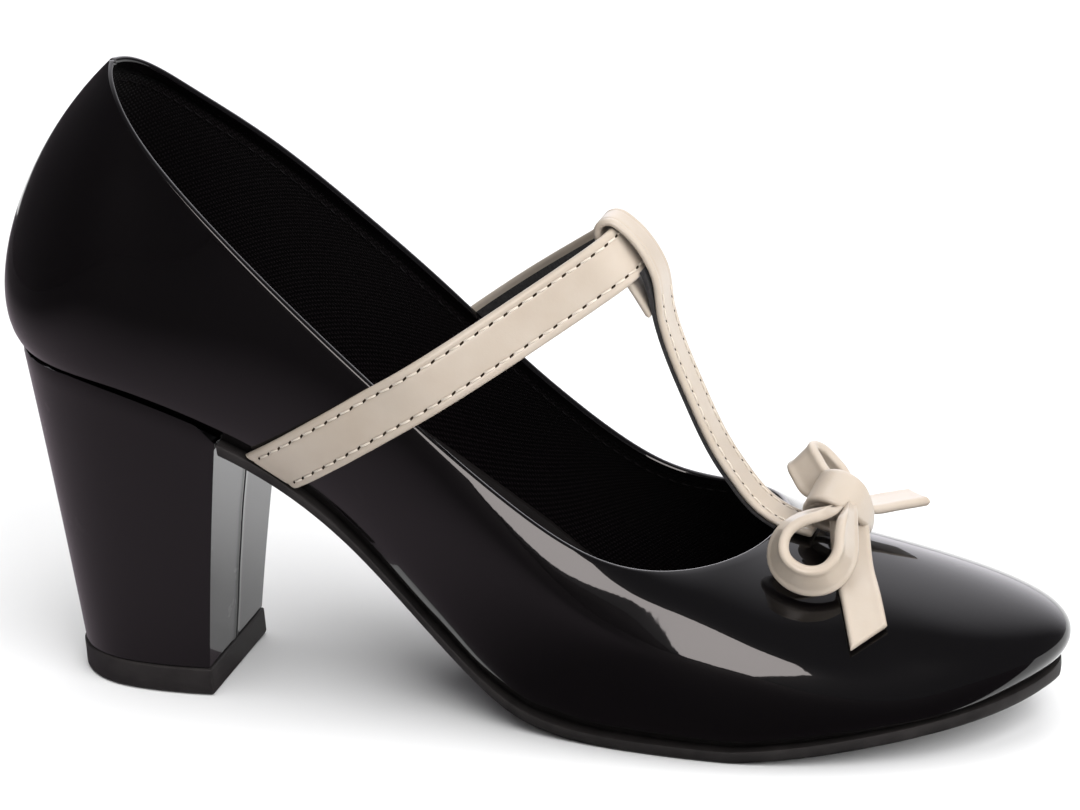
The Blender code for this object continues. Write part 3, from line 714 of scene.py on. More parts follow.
# %% Insole
INSOLE_THICK = 2.0
LIP_THICK = 1.5
LIP_ROUND = 0.4
INSOLE_RIBS = 110
INSOLE_END_ANGLES = (0.12, 0.09)
INSOLE_HOLLOW = 0.5
HOLLOW_WIDTH = 30
SHEET_STEPS = 17
UNDER_STEPS = 7
CLIMB = np.linspace(0.0, 0.7, 141)
InsoleLip = namedtuple("InsoleLip", "place x rise")
INSOLE_LIP = (
    InsoleLip("seat", 40.0, 0.3),
    InsoleLip("breast", 56.0, 0.8),
    InsoleLip("shank_back", 70.0, 3.4),
    InsoleLip("shank", 85.0, 5.9),
    InsoleLip("arch_back", 95.0, 8.6),
    InsoleLip("arch", 105.0, 10.6),
    InsoleLip("arch_front", 113.0, 10.9),
    InsoleLip("ball_back", 124.0, 6.4),
    InsoleLip("ball", 137.0, 1.6),
    InsoleLip("tread", 150.0, 0.3),
)


def insole_point(place, height, inset):
    """A point of the insole round the shoe, above its underside and in from the wall."""
    around = np.full_like(CLIMB, place)
    inside = upper_outside(around, CLIMB) - WALL * upper_normal(around, CLIMB)
    above = inside[:, 2] - bottom_height(inside[:, 0]) - WALL - GAP
    v = np.interp(height - GAP, np.maximum.accumulate(above), CLIMB)
    here = (np.array([place]), np.array([v]))
    out = upper_normal(*here)[0]
    point = upper_outside(*here)[0] - WALL * out
    point[:2] -= (2 * GAP + inset) * unit(out[:2])
    point[2] = bottom_height(point[0]) + WALL + GAP + height
    return point


def insole_lip(place):
    """One side of a rib: the foot of the lip, over its rounded top and down to the sheet."""
    foot = insole_point(place, 0.0, 0.0)
    rise = float(table_curve(INSOLE_LIP, "rise", foot[0]))
    top = INSOLE_THICK + rise
    soft = min(LIP_ROUND, rise / 2)
    steps = ((top / 2, 0.0), (top - soft, 0.0), (top, soft), (top, LIP_THICK - soft),
             (top - soft, LIP_THICK), (INSOLE_THICK + rise / 2, LIP_THICK),
             (INSOLE_THICK, LIP_THICK + soft))
    return [foot] + [insole_point(place, height, inset) for height, inset in steps]


def insole_rings():
    """Ribs of the insole: up one lip, across the sheet, down the other lip and back under it."""
    first, last = INSOLE_END_ANGLES
    spread = 0.5 - 0.5 * np.cos(np.linspace(first, np.pi - last, INSOLE_RIBS))
    rings = []
    for u in 0.5 * spread:
        near, far = insole_lip(u), insole_lip(-u)
        share = np.linspace(0, 1, SHEET_STEPS)[1:-1, None]
        sheet = near[-1] + (far[-1] - near[-1]) * share
        crown = 1 - (2 * share[:, 0] - 1) ** 2
        width_share = min(1.0, abs(far[-1][1] - near[-1][1]) / HOLLOW_WIDTH)
        sheet[:, 2] -= INSOLE_HOLLOW * crown * width_share
        low = far[0] + (near[0] - far[0]) * np.linspace(0, 1, UNDER_STEPS)[1:-1, None]
        rings.append(np.vstack([near, sheet, far[::-1], low]))
    return np.array(rings)


loft("insole", insole_rings(), [sock], ["insole"])

# %% [markdown]
# ## Outsole
# The outsole is a thin sheet of rubber with a rounded edge. It follows the feather line with a
# narrow ledge, runs through the arch and the toe spring, and ends at the heel's breast. A
# section with a few corners is carried along the shoe, and its underside has a border and a
# flat tread with a shallow groove between them, as moulded soles have.

# %% Outsole
SOLE_RIBS = 150
SOLE_CROWDING = 1.4
SOLE_NARROW = 7.0
SoleEdge = namedtuple("SoleEdge", "place inset drop")
SOLE_EDGE = (
    SoleEdge("top_inner", 3.0, 0.0),
    SoleEdge("top", 0.35, 0.0),
    SoleEdge("top_round", 0.08, 0.12),
    SoleEdge("side_top", 0.0, 0.4),
    SoleEdge("side_low", 0.14, 2.1),
    SoleEdge("low_round", 0.42, 2.75),
    SoleEdge("low", 0.9, 3.0),
    SoleEdge("border", 4.4, 3.0),
    SoleEdge("groove", 4.9, 2.75),
    SoleEdge("tread", 5.4, 2.95),
)


def outsole_rings():
    """Ribs of the outsole from the toe to the heel breast."""
    last = place_at_x(BREAST_TOP_X + GAP, SOLE_LEDGE)
    places = last * np.linspace(0.0, 1.0, SOLE_RIBS + 1)[1:] ** SOLE_CROWDING
    edges = []
    for side, order in ((1, SOLE_EDGE), (-1, SOLE_EDGE[::-1])):
        half = np.abs(feather_outline(side * places, SOLE_LEDGE)[:, 1])
        shrink = np.minimum(1.0, half / SOLE_NARROW)
        for e in order:
            line = feather_outline(side * places, SOLE_LEDGE - e.inset * shrink)
            height = bottom_height(line[:, 0]) - GAP - e.drop
            edges.append(swung(np.column_stack([line, height])))
    return np.array(edges).transpose(1, 0, 2)


loft("outsole", outsole_rings(), [rubber], ["outsole"], crease=50.0)

# %% [markdown]
# ## Heel and heel tip
# The block heel is wrapped in the same patent: one cover goes round the back and its two ends
# meet in a seam down the middle of the breast. The block is lofted from level outlines. A thin
# rim at its top cups the seat of the upper, so only a fine line shows between the two. The
# breast gets extra columns, so that the seam can be a narrow groove with raised lips, and a
# bevel rounds the edges as the cover does. The tip is a moulded rubber piece a little wider.

# %% Heel
HEEL_LEVELS = 30
HEEL_AROUND = 121
HEEL_WAIST = 0.16
HEEL_BEVEL = 0.3
TIP_BEVEL = 0.45
BREAST_COLUMNS = 61
BREAST_CROWDING = 0.8
CUP_RISE = 2.4
CUP_RISE_BACK = 0.8
CUP_REACH = 17.0
CUP_FADE = 4.0
SEAM_LIP = 0.16
SEAM_LIP_WIDTH = 1.1
SEAM_GROOVE = 0.5
SEAM_GROOVE_WIDTH = 0.28
CupRing = namedtuple("CupRing", "place inset up")
CUP_RINGS = (
    CupRing("inside", 2.2, 0.0),
    CupRing("under_edge", 0.3, 0.9),
    CupRing("edge", 0.08, 1.0),
)
SeamWave = namedtuple("SeamWave", "place size turns start")
SEAM_WAVES = (
    SeamWave("slow", 0.15, 9.0, 0.0),
    SeamWave("quick", 0.1, 23.0, 1.0),
)
TipLevel = namedtuple("TipLevel", "place z grow")
TIP_LEVELS = (
    TipLevel("floor", 0.0, 0.99),
    TipLevel("edge", 0.7, HEEL_TIP_GROW),
    TipLevel("top", HEEL_TIP_THICK, HEEL_TIP_GROW),
)


def breast_line(start, end):
    """Points across the breast between its two corners, with the seam in the middle."""
    share = np.linspace(0, 1, BREAST_COLUMNS + 2)[1:-1]
    share = 0.5 + (share - 0.5) * np.abs(2 * share - 1) ** BREAST_CROWDING
    line = start + (end - start) * share[:, None]
    off = (share - 0.5) * np.linalg.norm(end - start)
    lips = SEAM_LIP * np.exp(-(off / SEAM_LIP_WIDTH) ** 2)
    line[:, 0] += lips - SEAM_GROOVE * np.exp(-(off / SEAM_GROOVE_WIDTH) ** 2)
    return line


def heel_rings():
    """Sections of the heel: the rim that cups the seat, then levels down to the tip."""
    seat = heel_outline(0.0, HEEL_AROUND)
    seat_z = bottom_height(seat[:, 0]) - GAP
    from_back = np.clip((seat[:, 0] - seat[:, 0].min()) / CUP_REACH, 0, 1)
    rise = CUP_RISE_BACK + (CUP_RISE - CUP_RISE_BACK) * from_back
    rise = rise * np.clip((seat[:, 0].max() - seat[:, 0]) / CUP_FADE, 0, 1)
    along = np.gradient(seat, axis=0)
    inward = unit(np.column_stack([-along[:, 1], along[:, 0]]))
    inward *= np.sign(((seat.mean(axis=0) - seat) * inward).sum(axis=1))[:, None]
    rings = []
    for c in CUP_RINGS:
        outline = seat + inward * (c.inset * rise / CUP_RISE)[:, None]
        rim = swung(np.column_stack([outline, seat_z + c.up * rise]))
        rings.append(np.vstack([rim, breast_line(rim[-1], rim[0])]))
    for down in np.linspace(0, 1, HEEL_LEVELS):
        outline = heel_outline(down + HEEL_WAIST * down * (1 - down), HEEL_AROUND)
        z = seat_z + (HEEL_TIP_THICK + GAP - seat_z) * down
        ring = swung(np.column_stack([outline, z]))
        breast = breast_line(ring[-1], ring[0])
        breast[1:-1, 1] += sum(w.size * math.sin(w.turns * down + w.start) for w in SEAM_WAVES)
        rings.append(np.vstack([ring, breast]))
    return np.array(rings)


heel = loft("heel", heel_rings(), [patent], ["heel"], crease=50.0)
add_bevel(heel, HEEL_BEVEL, angle=55.0)
rings = np.array([heel_tip_outline(level.grow, level.z, HEEL_AROUND) for level in TIP_LEVELS])
heel_tip = loft("heel_tip", rings, [rubber], ["heel_tip"], crease=40.0)
add_bevel(heel_tip, TIP_BEVEL, angle=40.0)

# %% [markdown]
# ## Ivory leather and thread
# The straps and the bow are a smooth ivory leather with a soft shine: folded edges, a fine
# grain and a slightly warmer tone where it is handled. The thread is a little lighter, and
# each stitch ends in a needle hole, drawn as a dark patch of painted shade.

# %% Ivory finishes
ivory, tree, shader = new_finish("ivory_leather", (0.397, 0.339, 0.281), 0.36,
                                 Specular_IOR_Level=0.4, Coat_Weight=0.45, Coat_Roughness=0.14,
                                 Subsurface_Weight=0.04)
shader.inputs["Subsurface Radius"].default_value = (0.0012, 0.0008, 0.0005)
pores = grain(tree, 0.9, 3.0, 0.6)
soft = grain(tree, 16.0, 3.0, 0.55)
wire(tree, shader, Normal=relief(tree, pores, 0.03), Roughness=between(tree, pores, 0.30, 0.44),
     Base_Color=tint(tree, soft, (0.377, 0.317, 0.257), (0.417, 0.361, 0.305)))

thread = grained_finish("ivory_thread", (0.52, 0.46, 0.39), 0.6, (0.25, 1.0, 0.04), (3.0, 2.0),
                        (0.47, 0.41, 0.34), (0.57, 0.51, 0.44), Sheen_Weight=0.2)
# Each needle hole is a small dark patch over the leather: painted shade inside the hole.
needle_hole_shade = grained_finish("needle_hole_shade", (0.012, 0.009, 0.008), 0.8, None, (2.0, 2.0),
                             (0.008, 0.005, 0.003), (0.03, 0.02, 0.013), Specular_IOR_Level=0.05)
strap_back = grained_finish("strap_backing", (0.012, 0.011, 0.012), 0.8, (0.6, 3.0, 0.12), (0.8, 2.0),
                            (0.006, 0.0055, 0.006), (0.022, 0.02, 0.021), Sheen_Weight=0.2,
                            Specular_IOR_Level=0.3)
print("ivory, thread, hole and backing are ready")

# %% [markdown]
# ## A strap as a swept section
# A strap is one section carried along a path: a soft front with a shallow trough under each
# row of stitches, folded edges, and a flat back with its cloth backing. A curve object with a
# bevel could sweep it, but it twists on its own; here the two edges of each strap are given, so
# the section always lies between them.

# %% Helpers for straps and ribbons
FINE_STEPS = 40
BAND_STEPS = 15
BEAD_REACH = 0.8
ROW_TROUGH = 0.16
ROW_REACH = 0.38
ROW_NEAR = np.array([-0.7, -0.4, -0.2, 0.0, 0.2, 0.4, 0.7])
EDGE_TURNS = np.radians((60, 30, 0, -30, -60))
END_SHARES = np.array([0.0, 0.04, 0.15, 0.35, 0.65, 1.0])
END_LEAST = 0.02


def run_along(points):
    """How far each point lies along a line of points, from its first one."""
    return np.concatenate([[0.0], np.cumsum(np.linalg.norm(np.diff(points, axis=0), axis=1))])


def read_at(values, run, at):
    """Rows of values that are known at each run, read at other runs."""
    return np.column_stack([np.interp(at, run, values[:, k]) for k in range(values.shape[1])])


def path_spline(rows, count):
    """Evenly spread points on a smooth open curve through rows."""
    rows = np.array(rows, float)
    knots = run_along(rows)
    slopes = np.gradient(rows, knots, axis=0)
    fine = np.linspace(0, knots[-1], FINE_STEPS * len(rows))
    dense = np.column_stack([hermite(knots, *pair, fine) for pair in zip(rows.T, slopes.T)])
    run = run_along(dense)
    return read_at(dense, run, np.linspace(0, run[-1], count))


def soften(points, reach):
    """The points drawn towards the mean of their neighbours, with the ends kept."""
    wide = 3 * reach
    weight = np.exp(-0.5 * (np.arange(-wide, wide + 1) / reach) ** 2)
    padded = np.concatenate([2 * points[:1] - points[wide:0:-1], points,
                             2 * points[-1:] - points[-2:-wide - 2:-1]])
    weight /= weight.sum()
    return np.column_stack([np.convolve(line, weight, "valid") for line in padded.T])


Band = namedtuple("Band", "middle across outward half run")


def band_between(left, right, sign):
    """Frames of a band between two edges; sign turns its front outward."""
    middle = (left + right) / 2
    across = unit(right - left)
    outward = sign * unit(np.cross(np.gradient(middle, axis=0), across))
    half = np.linalg.norm(right - left, axis=1) / 2
    return Band(middle, across, outward, half, run_along(middle))


def band_at(band, run):
    """The band's frames read at the given runs along it."""
    middle, across, outward = (read_at(part, band.run, run) for part in band[:3])
    return Band(middle, unit(across), unit(outward), np.interp(run, band.run, band.half), run)


def band_section(half, thick, row_inset=None, bead=0.0):
    """Corners of a section: share of the flat width, overhang and height, and the back's steps."""
    k = thick / 2
    flat = half - k

    def surface(shares):
        return k + bead * np.exp(-((1 - np.abs(shares)) * flat / BEAD_REACH) ** 2)

    back = np.linspace(1, -1, BAND_STEPS)
    shares = np.linspace(-1, 1, BAND_STEPS)
    height = surface(shares)
    if row_inset:
        row = (half - row_inset) / flat
        near = ROW_NEAR / flat
        shares = np.unique(np.concatenate([shares, row + near, -row + near]).clip(-1, 1))
        sunk = ROW_TROUGH * np.exp(-((np.abs(shares) - row) * flat / ROW_REACH) ** 2)
        height = surface(shares) - sunk
    edge = [(k * math.cos(t), (k + bead) * math.sin(t)) for t in EDGE_TURNS]
    corners = [(s, 0.0, h) for s, h in zip(shares, height)]
    corners += [(1.0, out, h) for out, h in edge]
    first_back = len(corners)
    corners += [(s, 0.0, -h) for s, h in zip(back, surface(back))]
    last_back = len(corners) - 1
    corners += [(-1.0, -out, h) for out, h in edge[::-1]]
    return np.array(corners), (first_back + 1, last_back - 1)


def band_runs(length, pitch, round_end):
    """Runs along a band, closer together where its ends are rounded."""
    ends = round_end * END_SHARES
    count = max(2, round((length - 2 * round_end) / pitch))
    between_ends = np.linspace(round_end, length - round_end, count)[1:-1]
    return np.concatenate([ends, between_ends, length - ends[::-1]])


def sweep_band(band, section, thick, pitch, round_end):
    """Rings of a band with its ends rounded off."""
    run = band_runs(band.run[-1], pitch, round_end)
    b = band_at(band, run)
    from_end = np.minimum(run, band.run[-1] - run)
    full = np.sqrt(1 - (1 - np.minimum(from_end / round_end, 1)) ** 2).clip(END_LEAST)
    flat = b.half[:, None, None] - thick / 2
    sideways = section[None, :, :1] * flat + section[None, :, 1:2]
    rise = section[None, :, 2:] * full[:, None, None]
    return b.middle[:, None] + b.across[:, None] * sideways + b.outward[:, None] * rise


def make_band(name, band, thick, finishes, stands_for, pitch, row_inset=None, back=False,
              round_end=None, bead=0.0):
    """A strap or ribbon as one closed piece, with a backing on its flat side if asked for."""
    section, (first, last) = band_section(float(np.median(band.half)), thick, row_inset, bead=bead)
    rings = sweep_band(band, section, thick, pitch, round_end or thick / 2)
    rows, steps = rings.shape[:2]
    step_of_face = np.append(np.tile(np.arange(steps), rows - 1), [0, 0])
    paint = (step_of_face >= first) & (step_of_face < last) & back
    loft(name, rings, finishes, stands_for, paint, crease=55.0)


print("a strap section has", len(band_section(6.0, 1.8, 1.9)[0]), "corners")

# %% [markdown]
# ## Stitches
# A machine stitch is a short bar of thread that dips into a needle hole at both ends, lies
# slightly askew and presses a groove. The hole is cut slantwise, as a wedge-shaped needle cuts
# it. Bump could fake all this, but thread that stands up catches the light, so each stitch is a
# small tube of its own, and all stitches of a row share one mesh.

# %% Helper for stitches
STITCH_ALONG = np.array([0.0, 0.12, 0.5, 0.88, 1.0])
STITCH_LIFT = np.array([-0.5, 0.2, 0.42, 0.2, -0.5])
STITCH_HALF = np.array([0.3, 0.46, 0.5, 0.46, 0.3])
STITCH_SIDES = 6
STITCH_ASKEW = 0.12
ROW_STEP = 0.5
HOLE_SIDES = 8
HOLE_CORNER = 1.3
HOLE_SLANT = 0.25
HOLE_RIM = 0.02
HOLE_CLEAR = 0.11
HOLE_LID = 0.04
HOLE_DEPTH = 0.25
Stitch = namedtuple("Stitch", "pitch gap thick hole_long hole_wide")


def stitch_tube(line, outward, across, thick):
    """One stitch: a tube that dips at both ends and lies askew."""
    turn = np.radians(np.arange(STITCH_SIDES) * 360.0 / STITCH_SIDES)[None, :, None]
    askew = STITCH_ASKEW * (2 * STITCH_ALONG - 1)
    middle = line + outward * (thick * STITCH_LIFT)[:, None] + across * askew[:, None]
    ring = np.cos(turn) * across[:, None] + np.sin(turn) * outward[:, None]
    return (middle[:, None] + (thick * STITCH_HALF)[:, None, None] * ring).reshape(-1, 3)


def hole_cone(centre, outward, across, stitch):
    """One needle hole: a slanted rim, a lid in its middle and a point below it."""
    turn = np.radians(np.arange(HOLE_SIDES) * 360.0 / HOLE_SIDES)
    corner = np.where(np.arange(HOLE_SIDES) % 2, HOLE_CORNER, 1.0)
    side, fore = np.cos(turn)[:, None] * corner[:, None], np.sin(turn)[:, None] * corner[:, None]
    slant = fore + HOLE_SLANT * side
    rim = centre + side * across * stitch.hole_wide
    rim = rim + slant * np.cross(across, outward) * stitch.hole_long
    rim += outward * (HOLE_RIM + HOLE_CLEAR * np.minimum(side ** 2, 1.0))
    return np.vstack([rim, centre + outward * HOLE_LID, centre - outward * HOLE_DEPTH])


def row_at(row, run, at):
    """A row's points and its outward and across directions, read at runs along it."""
    line, outward, across = (read_at(part, run, at) for part in row)
    return line, unit(outward), unit(across)


def stitch_rows(name, rows, finishes, stitch):
    """Rows of stitches along rows of (points, outward, across), with a hole at each dip."""
    tube = tube_faces(len(STITCH_ALONG), STITCH_SIDES)
    cone = [(k, (k + 1) % HOLE_SIDES, HOLE_SIDES) for k in range(HOLE_SIDES)]
    cone += [((k + 1) % HOLE_SIDES, k, HOLE_SIDES + 1) for k in range(HOLE_SIDES)]
    parts = []
    for row in rows:
        run = run_along(row[0])
        starts = np.arange(stitch.pitch / 2, run[-1] - stitch.pitch, stitch.pitch)
        for start in starts:
            at = start + stitch.gap / 2 + STITCH_ALONG * (stitch.pitch - stitch.gap)
            parts.append((stitch_tube(*row_at(row, run, at), stitch.thick), tube, 0))
        for start in starts if stitch.hole_long else ():
            here = [part[0] for part in row_at(row, run, np.array([start]))]
            parts.append((hole_cone(*here, stitch), cone, 1))
    faces, paint, base = [], [], 0
    for points, part_faces, finish in parts:
        faces += [[corner + base for corner in face] for face in part_faces]
        paint += [finish] * len(part_faces)
        base += len(points)
    points = np.vstack([part[0] for part in parts])
    make_piece(name, points, faces, finishes, (), paint, crease=80.0)


def stitch_line(band, inset, thick, start, end):
    """The line of a stitch row on a band's front, inset from one edge (its sign says which)."""
    b = band_at(band, np.arange(start, band.run[-1] - end, ROW_STEP))
    side = math.copysign(1.0, inset) * (b.half - abs(inset))
    line = b.middle + b.across * side[:, None] + b.outward * (thick / 2 - ROW_TROUGH)
    return line, b.outward, b.across


print("stitch helper ready")

# %% [markdown]
# ## Cross strap
# The cross strap is sewn to the wall on both sides and arches over the instep. On the wall its
# edges follow the upper's surface at the strap's slope, and above the collar a short table
# carries them over to the other side. It has a row of stitches along each edge.

# %% Cross strap
STRAP_WIDTH = 12.0
STRAP_THICK = 1.8
STRAP_TOP = np.array([145.5, 105.2])
STRAP_RISE_NEAR = 30.8
STRAP_RISE_FAR = 36.0
STRAP_LENGTH_NEAR = 91.6
STRAP_LENGTH_FAR = 87.0
STRAP_COLLAR_DOWN = 59.5
STRAP_END_SLANT = 2.9
STRAP_ROW_INSET = 2.0
STRAP_ROW_START = 1.5
STRAP_STITCH = Stitch(3.7, 1.0, 0.5, 0.55, 0.24)
STRAP_POINTS = 700
STRAP_SOFT = 6
STRAP_PITCH = 0.6
SEARCH_FRONT = 200.0
WALL_START_UP = 0.5
StrapPoint = namedtuple("StrapPoint", "place down out")
STRAP_ON_WALL = (1.0, 0.83, 0.66, 0.5, 0.33, 0.17, 0.0)
STRAP_FREE = (
    StrapPoint("above_collar", 48.6, 27.0),
    StrapPoint("lower_arch", 35.6, 23.8),
    StrapPoint("upper_arch", 19.6, 16.9),
    StrapPoint("shoulder", 8.6, 11.4),
    StrapPoint("loop_edge", 2.0, 7.0),
    StrapPoint("loop_side", 0.2, 3.6),
)


def over_wall(side, x, z, lift):
    """Point lift outside the side wall, seen from the side at x, z."""
    start_round = place_at_x(min(x, SEARCH_FRONT), 0.0)
    start = (start_round if side < 0 else 1 - start_round, WALL_START_UP)
    u, v = find_on_upper((0, 2), (x, z), start)
    here = (np.array([u]), np.array([v]))
    return (upper_outside(*here) + lift * upper_normal(*here))[0]


def strap_slope(rise):
    """Unit vectors up the cross strap's slope and across its width, seen from the side."""
    rise = math.radians(rise)
    return np.array([math.cos(rise), math.sin(rise)]), np.array([-math.sin(rise), math.cos(rise)])


def strap_edges():
    """The strap's upper and lower edge, from the near wall over the instep to the far wall."""
    edges = []
    for half in (STRAP_WIDTH / 2, -STRAP_WIDTH / 2):
        slant = math.copysign(STRAP_END_SLANT, half)
        sides = []
        for side, rise, length in ((-1, STRAP_RISE_NEAR, STRAP_LENGTH_NEAR),
                                   (1, STRAP_RISE_FAR, STRAP_LENGTH_FAR)):
            slope, width = strap_slope(rise)
            rows = []
            for share in STRAP_ON_WALL:
                down = STRAP_COLLAR_DOWN + share * (length - STRAP_COLLAR_DOWN + slant)
                x, z = STRAP_TOP - slope * down + width * half
                rows.append(over_wall(side, x, z, GAP + STRAP_THICK / 2))
            for point in STRAP_FREE:
                x, z = STRAP_TOP - slope * point.down + width * half
                rows.append((x, side * point.out + swing(x, "top_shift"), z))
            sides.append(rows)
        x, z = STRAP_TOP + strap_slope((STRAP_RISE_NEAR + STRAP_RISE_FAR) / 2)[1] * half
        middle = [(x, swing(x, "top_shift"), z)]
        edges.append(path_spline(sides[0] + middle + sides[1][::-1], STRAP_POINTS))
    return edges


upper_edge, lower_edge = strap_edges()
strap_band = band_between(soften(upper_edge, STRAP_SOFT), soften(lower_edge, STRAP_SOFT), -1.0)
make_band("cross_strap", strap_band, STRAP_THICK, [ivory, strap_back], ["cross_strap"],
          STRAP_PITCH, STRAP_ROW_INSET, back=True)
strap_rows = [stitch_line(strap_band, inset, STRAP_THICK, STRAP_ROW_START, STRAP_ROW_START)
              for inset in (STRAP_ROW_INSET, -STRAP_ROW_INSET)]
stitch_rows("cross_strap_stitches", strap_rows, [thread, needle_hole_shade], STRAP_STITCH)

# %% [markdown]
# ## T-strap
# The T-strap rises from under the bow, folds round the cross strap and comes back down behind
# itself, where its end is caught between the strap and the black backing. The strap is one
# band through the fold, and the backing is a second, thinner band on its rear face.

# %% T-strap
T_STRAP_WIDTH = 10.0
T_STRAP_THICK = 1.6
T_STRAP_POINTS = 700
T_STRAP_SOFT = 5
T_STRAP_PITCH = 0.5
T_ROW_INSET = 1.7
T_ROW_START = 4.0
T_ROW_BELOW_FOLD = 17.0
T_STITCH = Stitch(3.3, 0.8, 0.4, 0.26, 0.16)
T_EDGE_WEAR = 0.4
T_LOOP_PINCH = 0.9
T_PINCH_REACH = 16.0
TStrapPoint = namedtuple("TStrapPoint", "place x z")
T_STRAP_ON_VAMP = (182.0, 179.6, 177.0)
T_STRAP_FREE = (
    TStrapPoint("throat", 172.0, 46.4),
    TStrapPoint("lower", 164.4, 56.2),
    TStrapPoint("middle", 157.0, 73.6),
    TStrapPoint("upper", 152.4, 90.0),
)
LoopPoint = namedtuple("LoopPoint", "place ahead across")
T_STRAP_LOOP = (
    LoopPoint("front_low", 2.5, -7.0),
    LoopPoint("front_high", 2.5, 4.6),
    LoopPoint("fold_front", 1.5, 7.0),
    LoopPoint("fold_top", -0.4, 7.9),
    LoopPoint("fold_back", -2.7, 7.1),
    LoopPoint("back_high", -3.5, 4.6),
    LoopPoint("back_low", -3.5, -6.4),
)
T_STRAP_END = TStrapPoint("sewn_end", 150.0, 91.0)
BACKING_THICK = 0.8
BACKING_NARROW = 0.9
BACKING_START = 8.0
BACKING_BELOW_FOLD = 13.5
BACKING_POINTS = 240
BACKING_PITCH = 0.7
BACKING_STEP = 1.2
BACKING_STEP_RUN = 7.0
BACKING_STEP_SOFT = 1.6
VAMP_START_ROUND = 0.06
VAMP_START_UP = 0.7


def over_vamp(x, y, lift):
    """Point lift above the vamp, seen from above at x, y, and the vamp's normal there."""
    start = (-VAMP_START_ROUND if y > 0 else VAMP_START_ROUND, VAMP_START_UP)
    u, v = find_on_upper((0, 1), (x, y), start)
    here = (np.array([u]), np.array([v]))
    normal = upper_normal(*here)[0]
    return upper_outside(*here)[0] + lift * normal, normal


def flat_band(path, middle, width, sign):
    """A band of even width across the shoe along a path in the middle plane."""
    left = np.column_stack([path[:, 0], np.full(len(path), middle - width / 2), path[:, 1]])
    return band_between(left, left + (0.0, width, 0.0), sign)


def t_strap_path():
    """The middle of the T-strap's leather, from the vamp up, round the loop and back: x, z."""
    slope, width = strap_slope((STRAP_RISE_NEAR + STRAP_RISE_FAR) / 2)
    rows = []
    for x in T_STRAP_ON_VAMP:
        point, _ = over_vamp(x, t_middle, GAP + T_STRAP_THICK / 2)
        rows.append((point[0], point[2]))
    rows += [(p.x, p.z) for p in T_STRAP_FREE]
    rows += [tuple(STRAP_TOP + slope * p.ahead + width * p.across) for p in T_STRAP_LOOP]
    rows.append((T_STRAP_END.x, T_STRAP_END.z))
    return path_spline(rows, T_STRAP_POINTS)


t_middle = float(swing(STRAP_TOP[0], "top_shift"))
t_path = soften(t_strap_path(), T_STRAP_SOFT)
t_band = flat_band(t_path, t_middle, T_STRAP_WIDTH, -1.0)
fold_run = t_band.run[np.argmax(t_path[:, 1])]
pinch = np.exp(-((t_band.run - fold_run) / T_PINCH_REACH) ** 2)
t_band = t_band._replace(half=t_band.half - T_EDGE_WEAR - T_LOOP_PINCH * pinch)
make_band("t_strap", t_band, T_STRAP_THICK, [ivory], ["t_strap"], T_STRAP_PITCH,
          T_ROW_INSET)
unsewn = t_band.run[-1] - (fold_run - T_ROW_BELOW_FOLD)
t_rows = [stitch_line(t_band, inset, T_STRAP_THICK, T_ROW_START, unsewn)
          for inset in (T_ROW_INSET, -T_ROW_INSET)]
stitch_rows("t_strap_stitches", t_rows, [thread, needle_hole_shade], T_STITCH)

backing_run = np.linspace(BACKING_START, fold_run - BACKING_BELOW_FOLD, BACKING_POINTS)
back_at = band_at(t_band, backing_run)
past_step = (backing_run - backing_run[-1] + BACKING_STEP_RUN) / BACKING_STEP_SOFT
behind = 1.0 + BACKING_STEP / (1 + np.exp(-past_step))
depth = T_STRAP_THICK / 2 * behind + BACKING_THICK / 2
backing_path = back_at.middle - back_at.outward * depth[:, None]
backing_band = flat_band(backing_path[:, [0, 2]], t_middle, T_STRAP_WIDTH - BACKING_NARROW, -1.0)
make_band("t_strap_backing", backing_band, BACKING_THICK, [strap_back], (),
          BACKING_PITCH)

# %% [markdown]
# ## The bow
# The bow is tied from one ivory strip with rounded edges: two loops, two tails and a knot. A
# cloth simulation could tie it, but the photograph shows each bend, so each loop is a ribbon
# on edge round its own axis, and each tail follows the vamp at a height that a short table
# gives. The strands narrow as they run into the knot, and each tail is cut slantwise.

# %% Bow
RIBBON_WIDTH = 8.6
RIBBON_THICK = 1.8
RIBBON_BEAD = 0.3
RIBBON_PITCH = 0.4
LOOP_POINTS = 500
LOOP_SOFT = 12
TAIL_POINTS = 240
TAIL_SOFT = 6
TAIL_ROUND = 0.6
LoopFrame = namedtuple("LoopFrame", "centre along axis flare")
NEAR_LOOP = LoopFrame((186.5, -19.2, 45.6), (-0.24, -0.71, -0.66), (0.21, -0.73, 0.65), 0.44)
FAR_LOOP = LoopFrame((180.6, 6.5, 51.8), (-0.65, 0.52, 0.55), (0.68, 0.09, 0.72), 0.04)
Ribbon = namedtuple("Ribbon", "place ahead side rise half")
NEAR_RIBBON = (
    Ribbon("in_knot_back", -13.6, 0.8, -7.6, 2.5),
    Ribbon("at_knot_back", -11.0, 0.8, -3.2, 3.6),
    Ribbon("knot_back", -8.6, -0.2, -0.4, 4.2),
    Ribbon("back_strand", -6.4, -3.4, 0.0, 4.3),
    Ribbon("back_side", -0.8, -7.2, 0.0, 4.3),
    Ribbon("back_end", 4.8, -5.6, 0.0, 4.3),
    Ribbon("end", 7.0, 0.0, 0.0, 4.3),
    Ribbon("front_end", 4.8, 5.4, 0.0, 4.3),
    Ribbon("front_side", -0.8, 7.2, 0.0, 4.3),
    Ribbon("front_strand", -6.0, 5.4, 0.0, 4.3),
    Ribbon("knot_front", -9.4, 4.2, -0.5, 4.2),
    Ribbon("at_knot_front", -12.0, 3.2, -3.6, 3.6),
    Ribbon("in_knot_front", -14.2, 2.2, -7.4, 2.5),
)
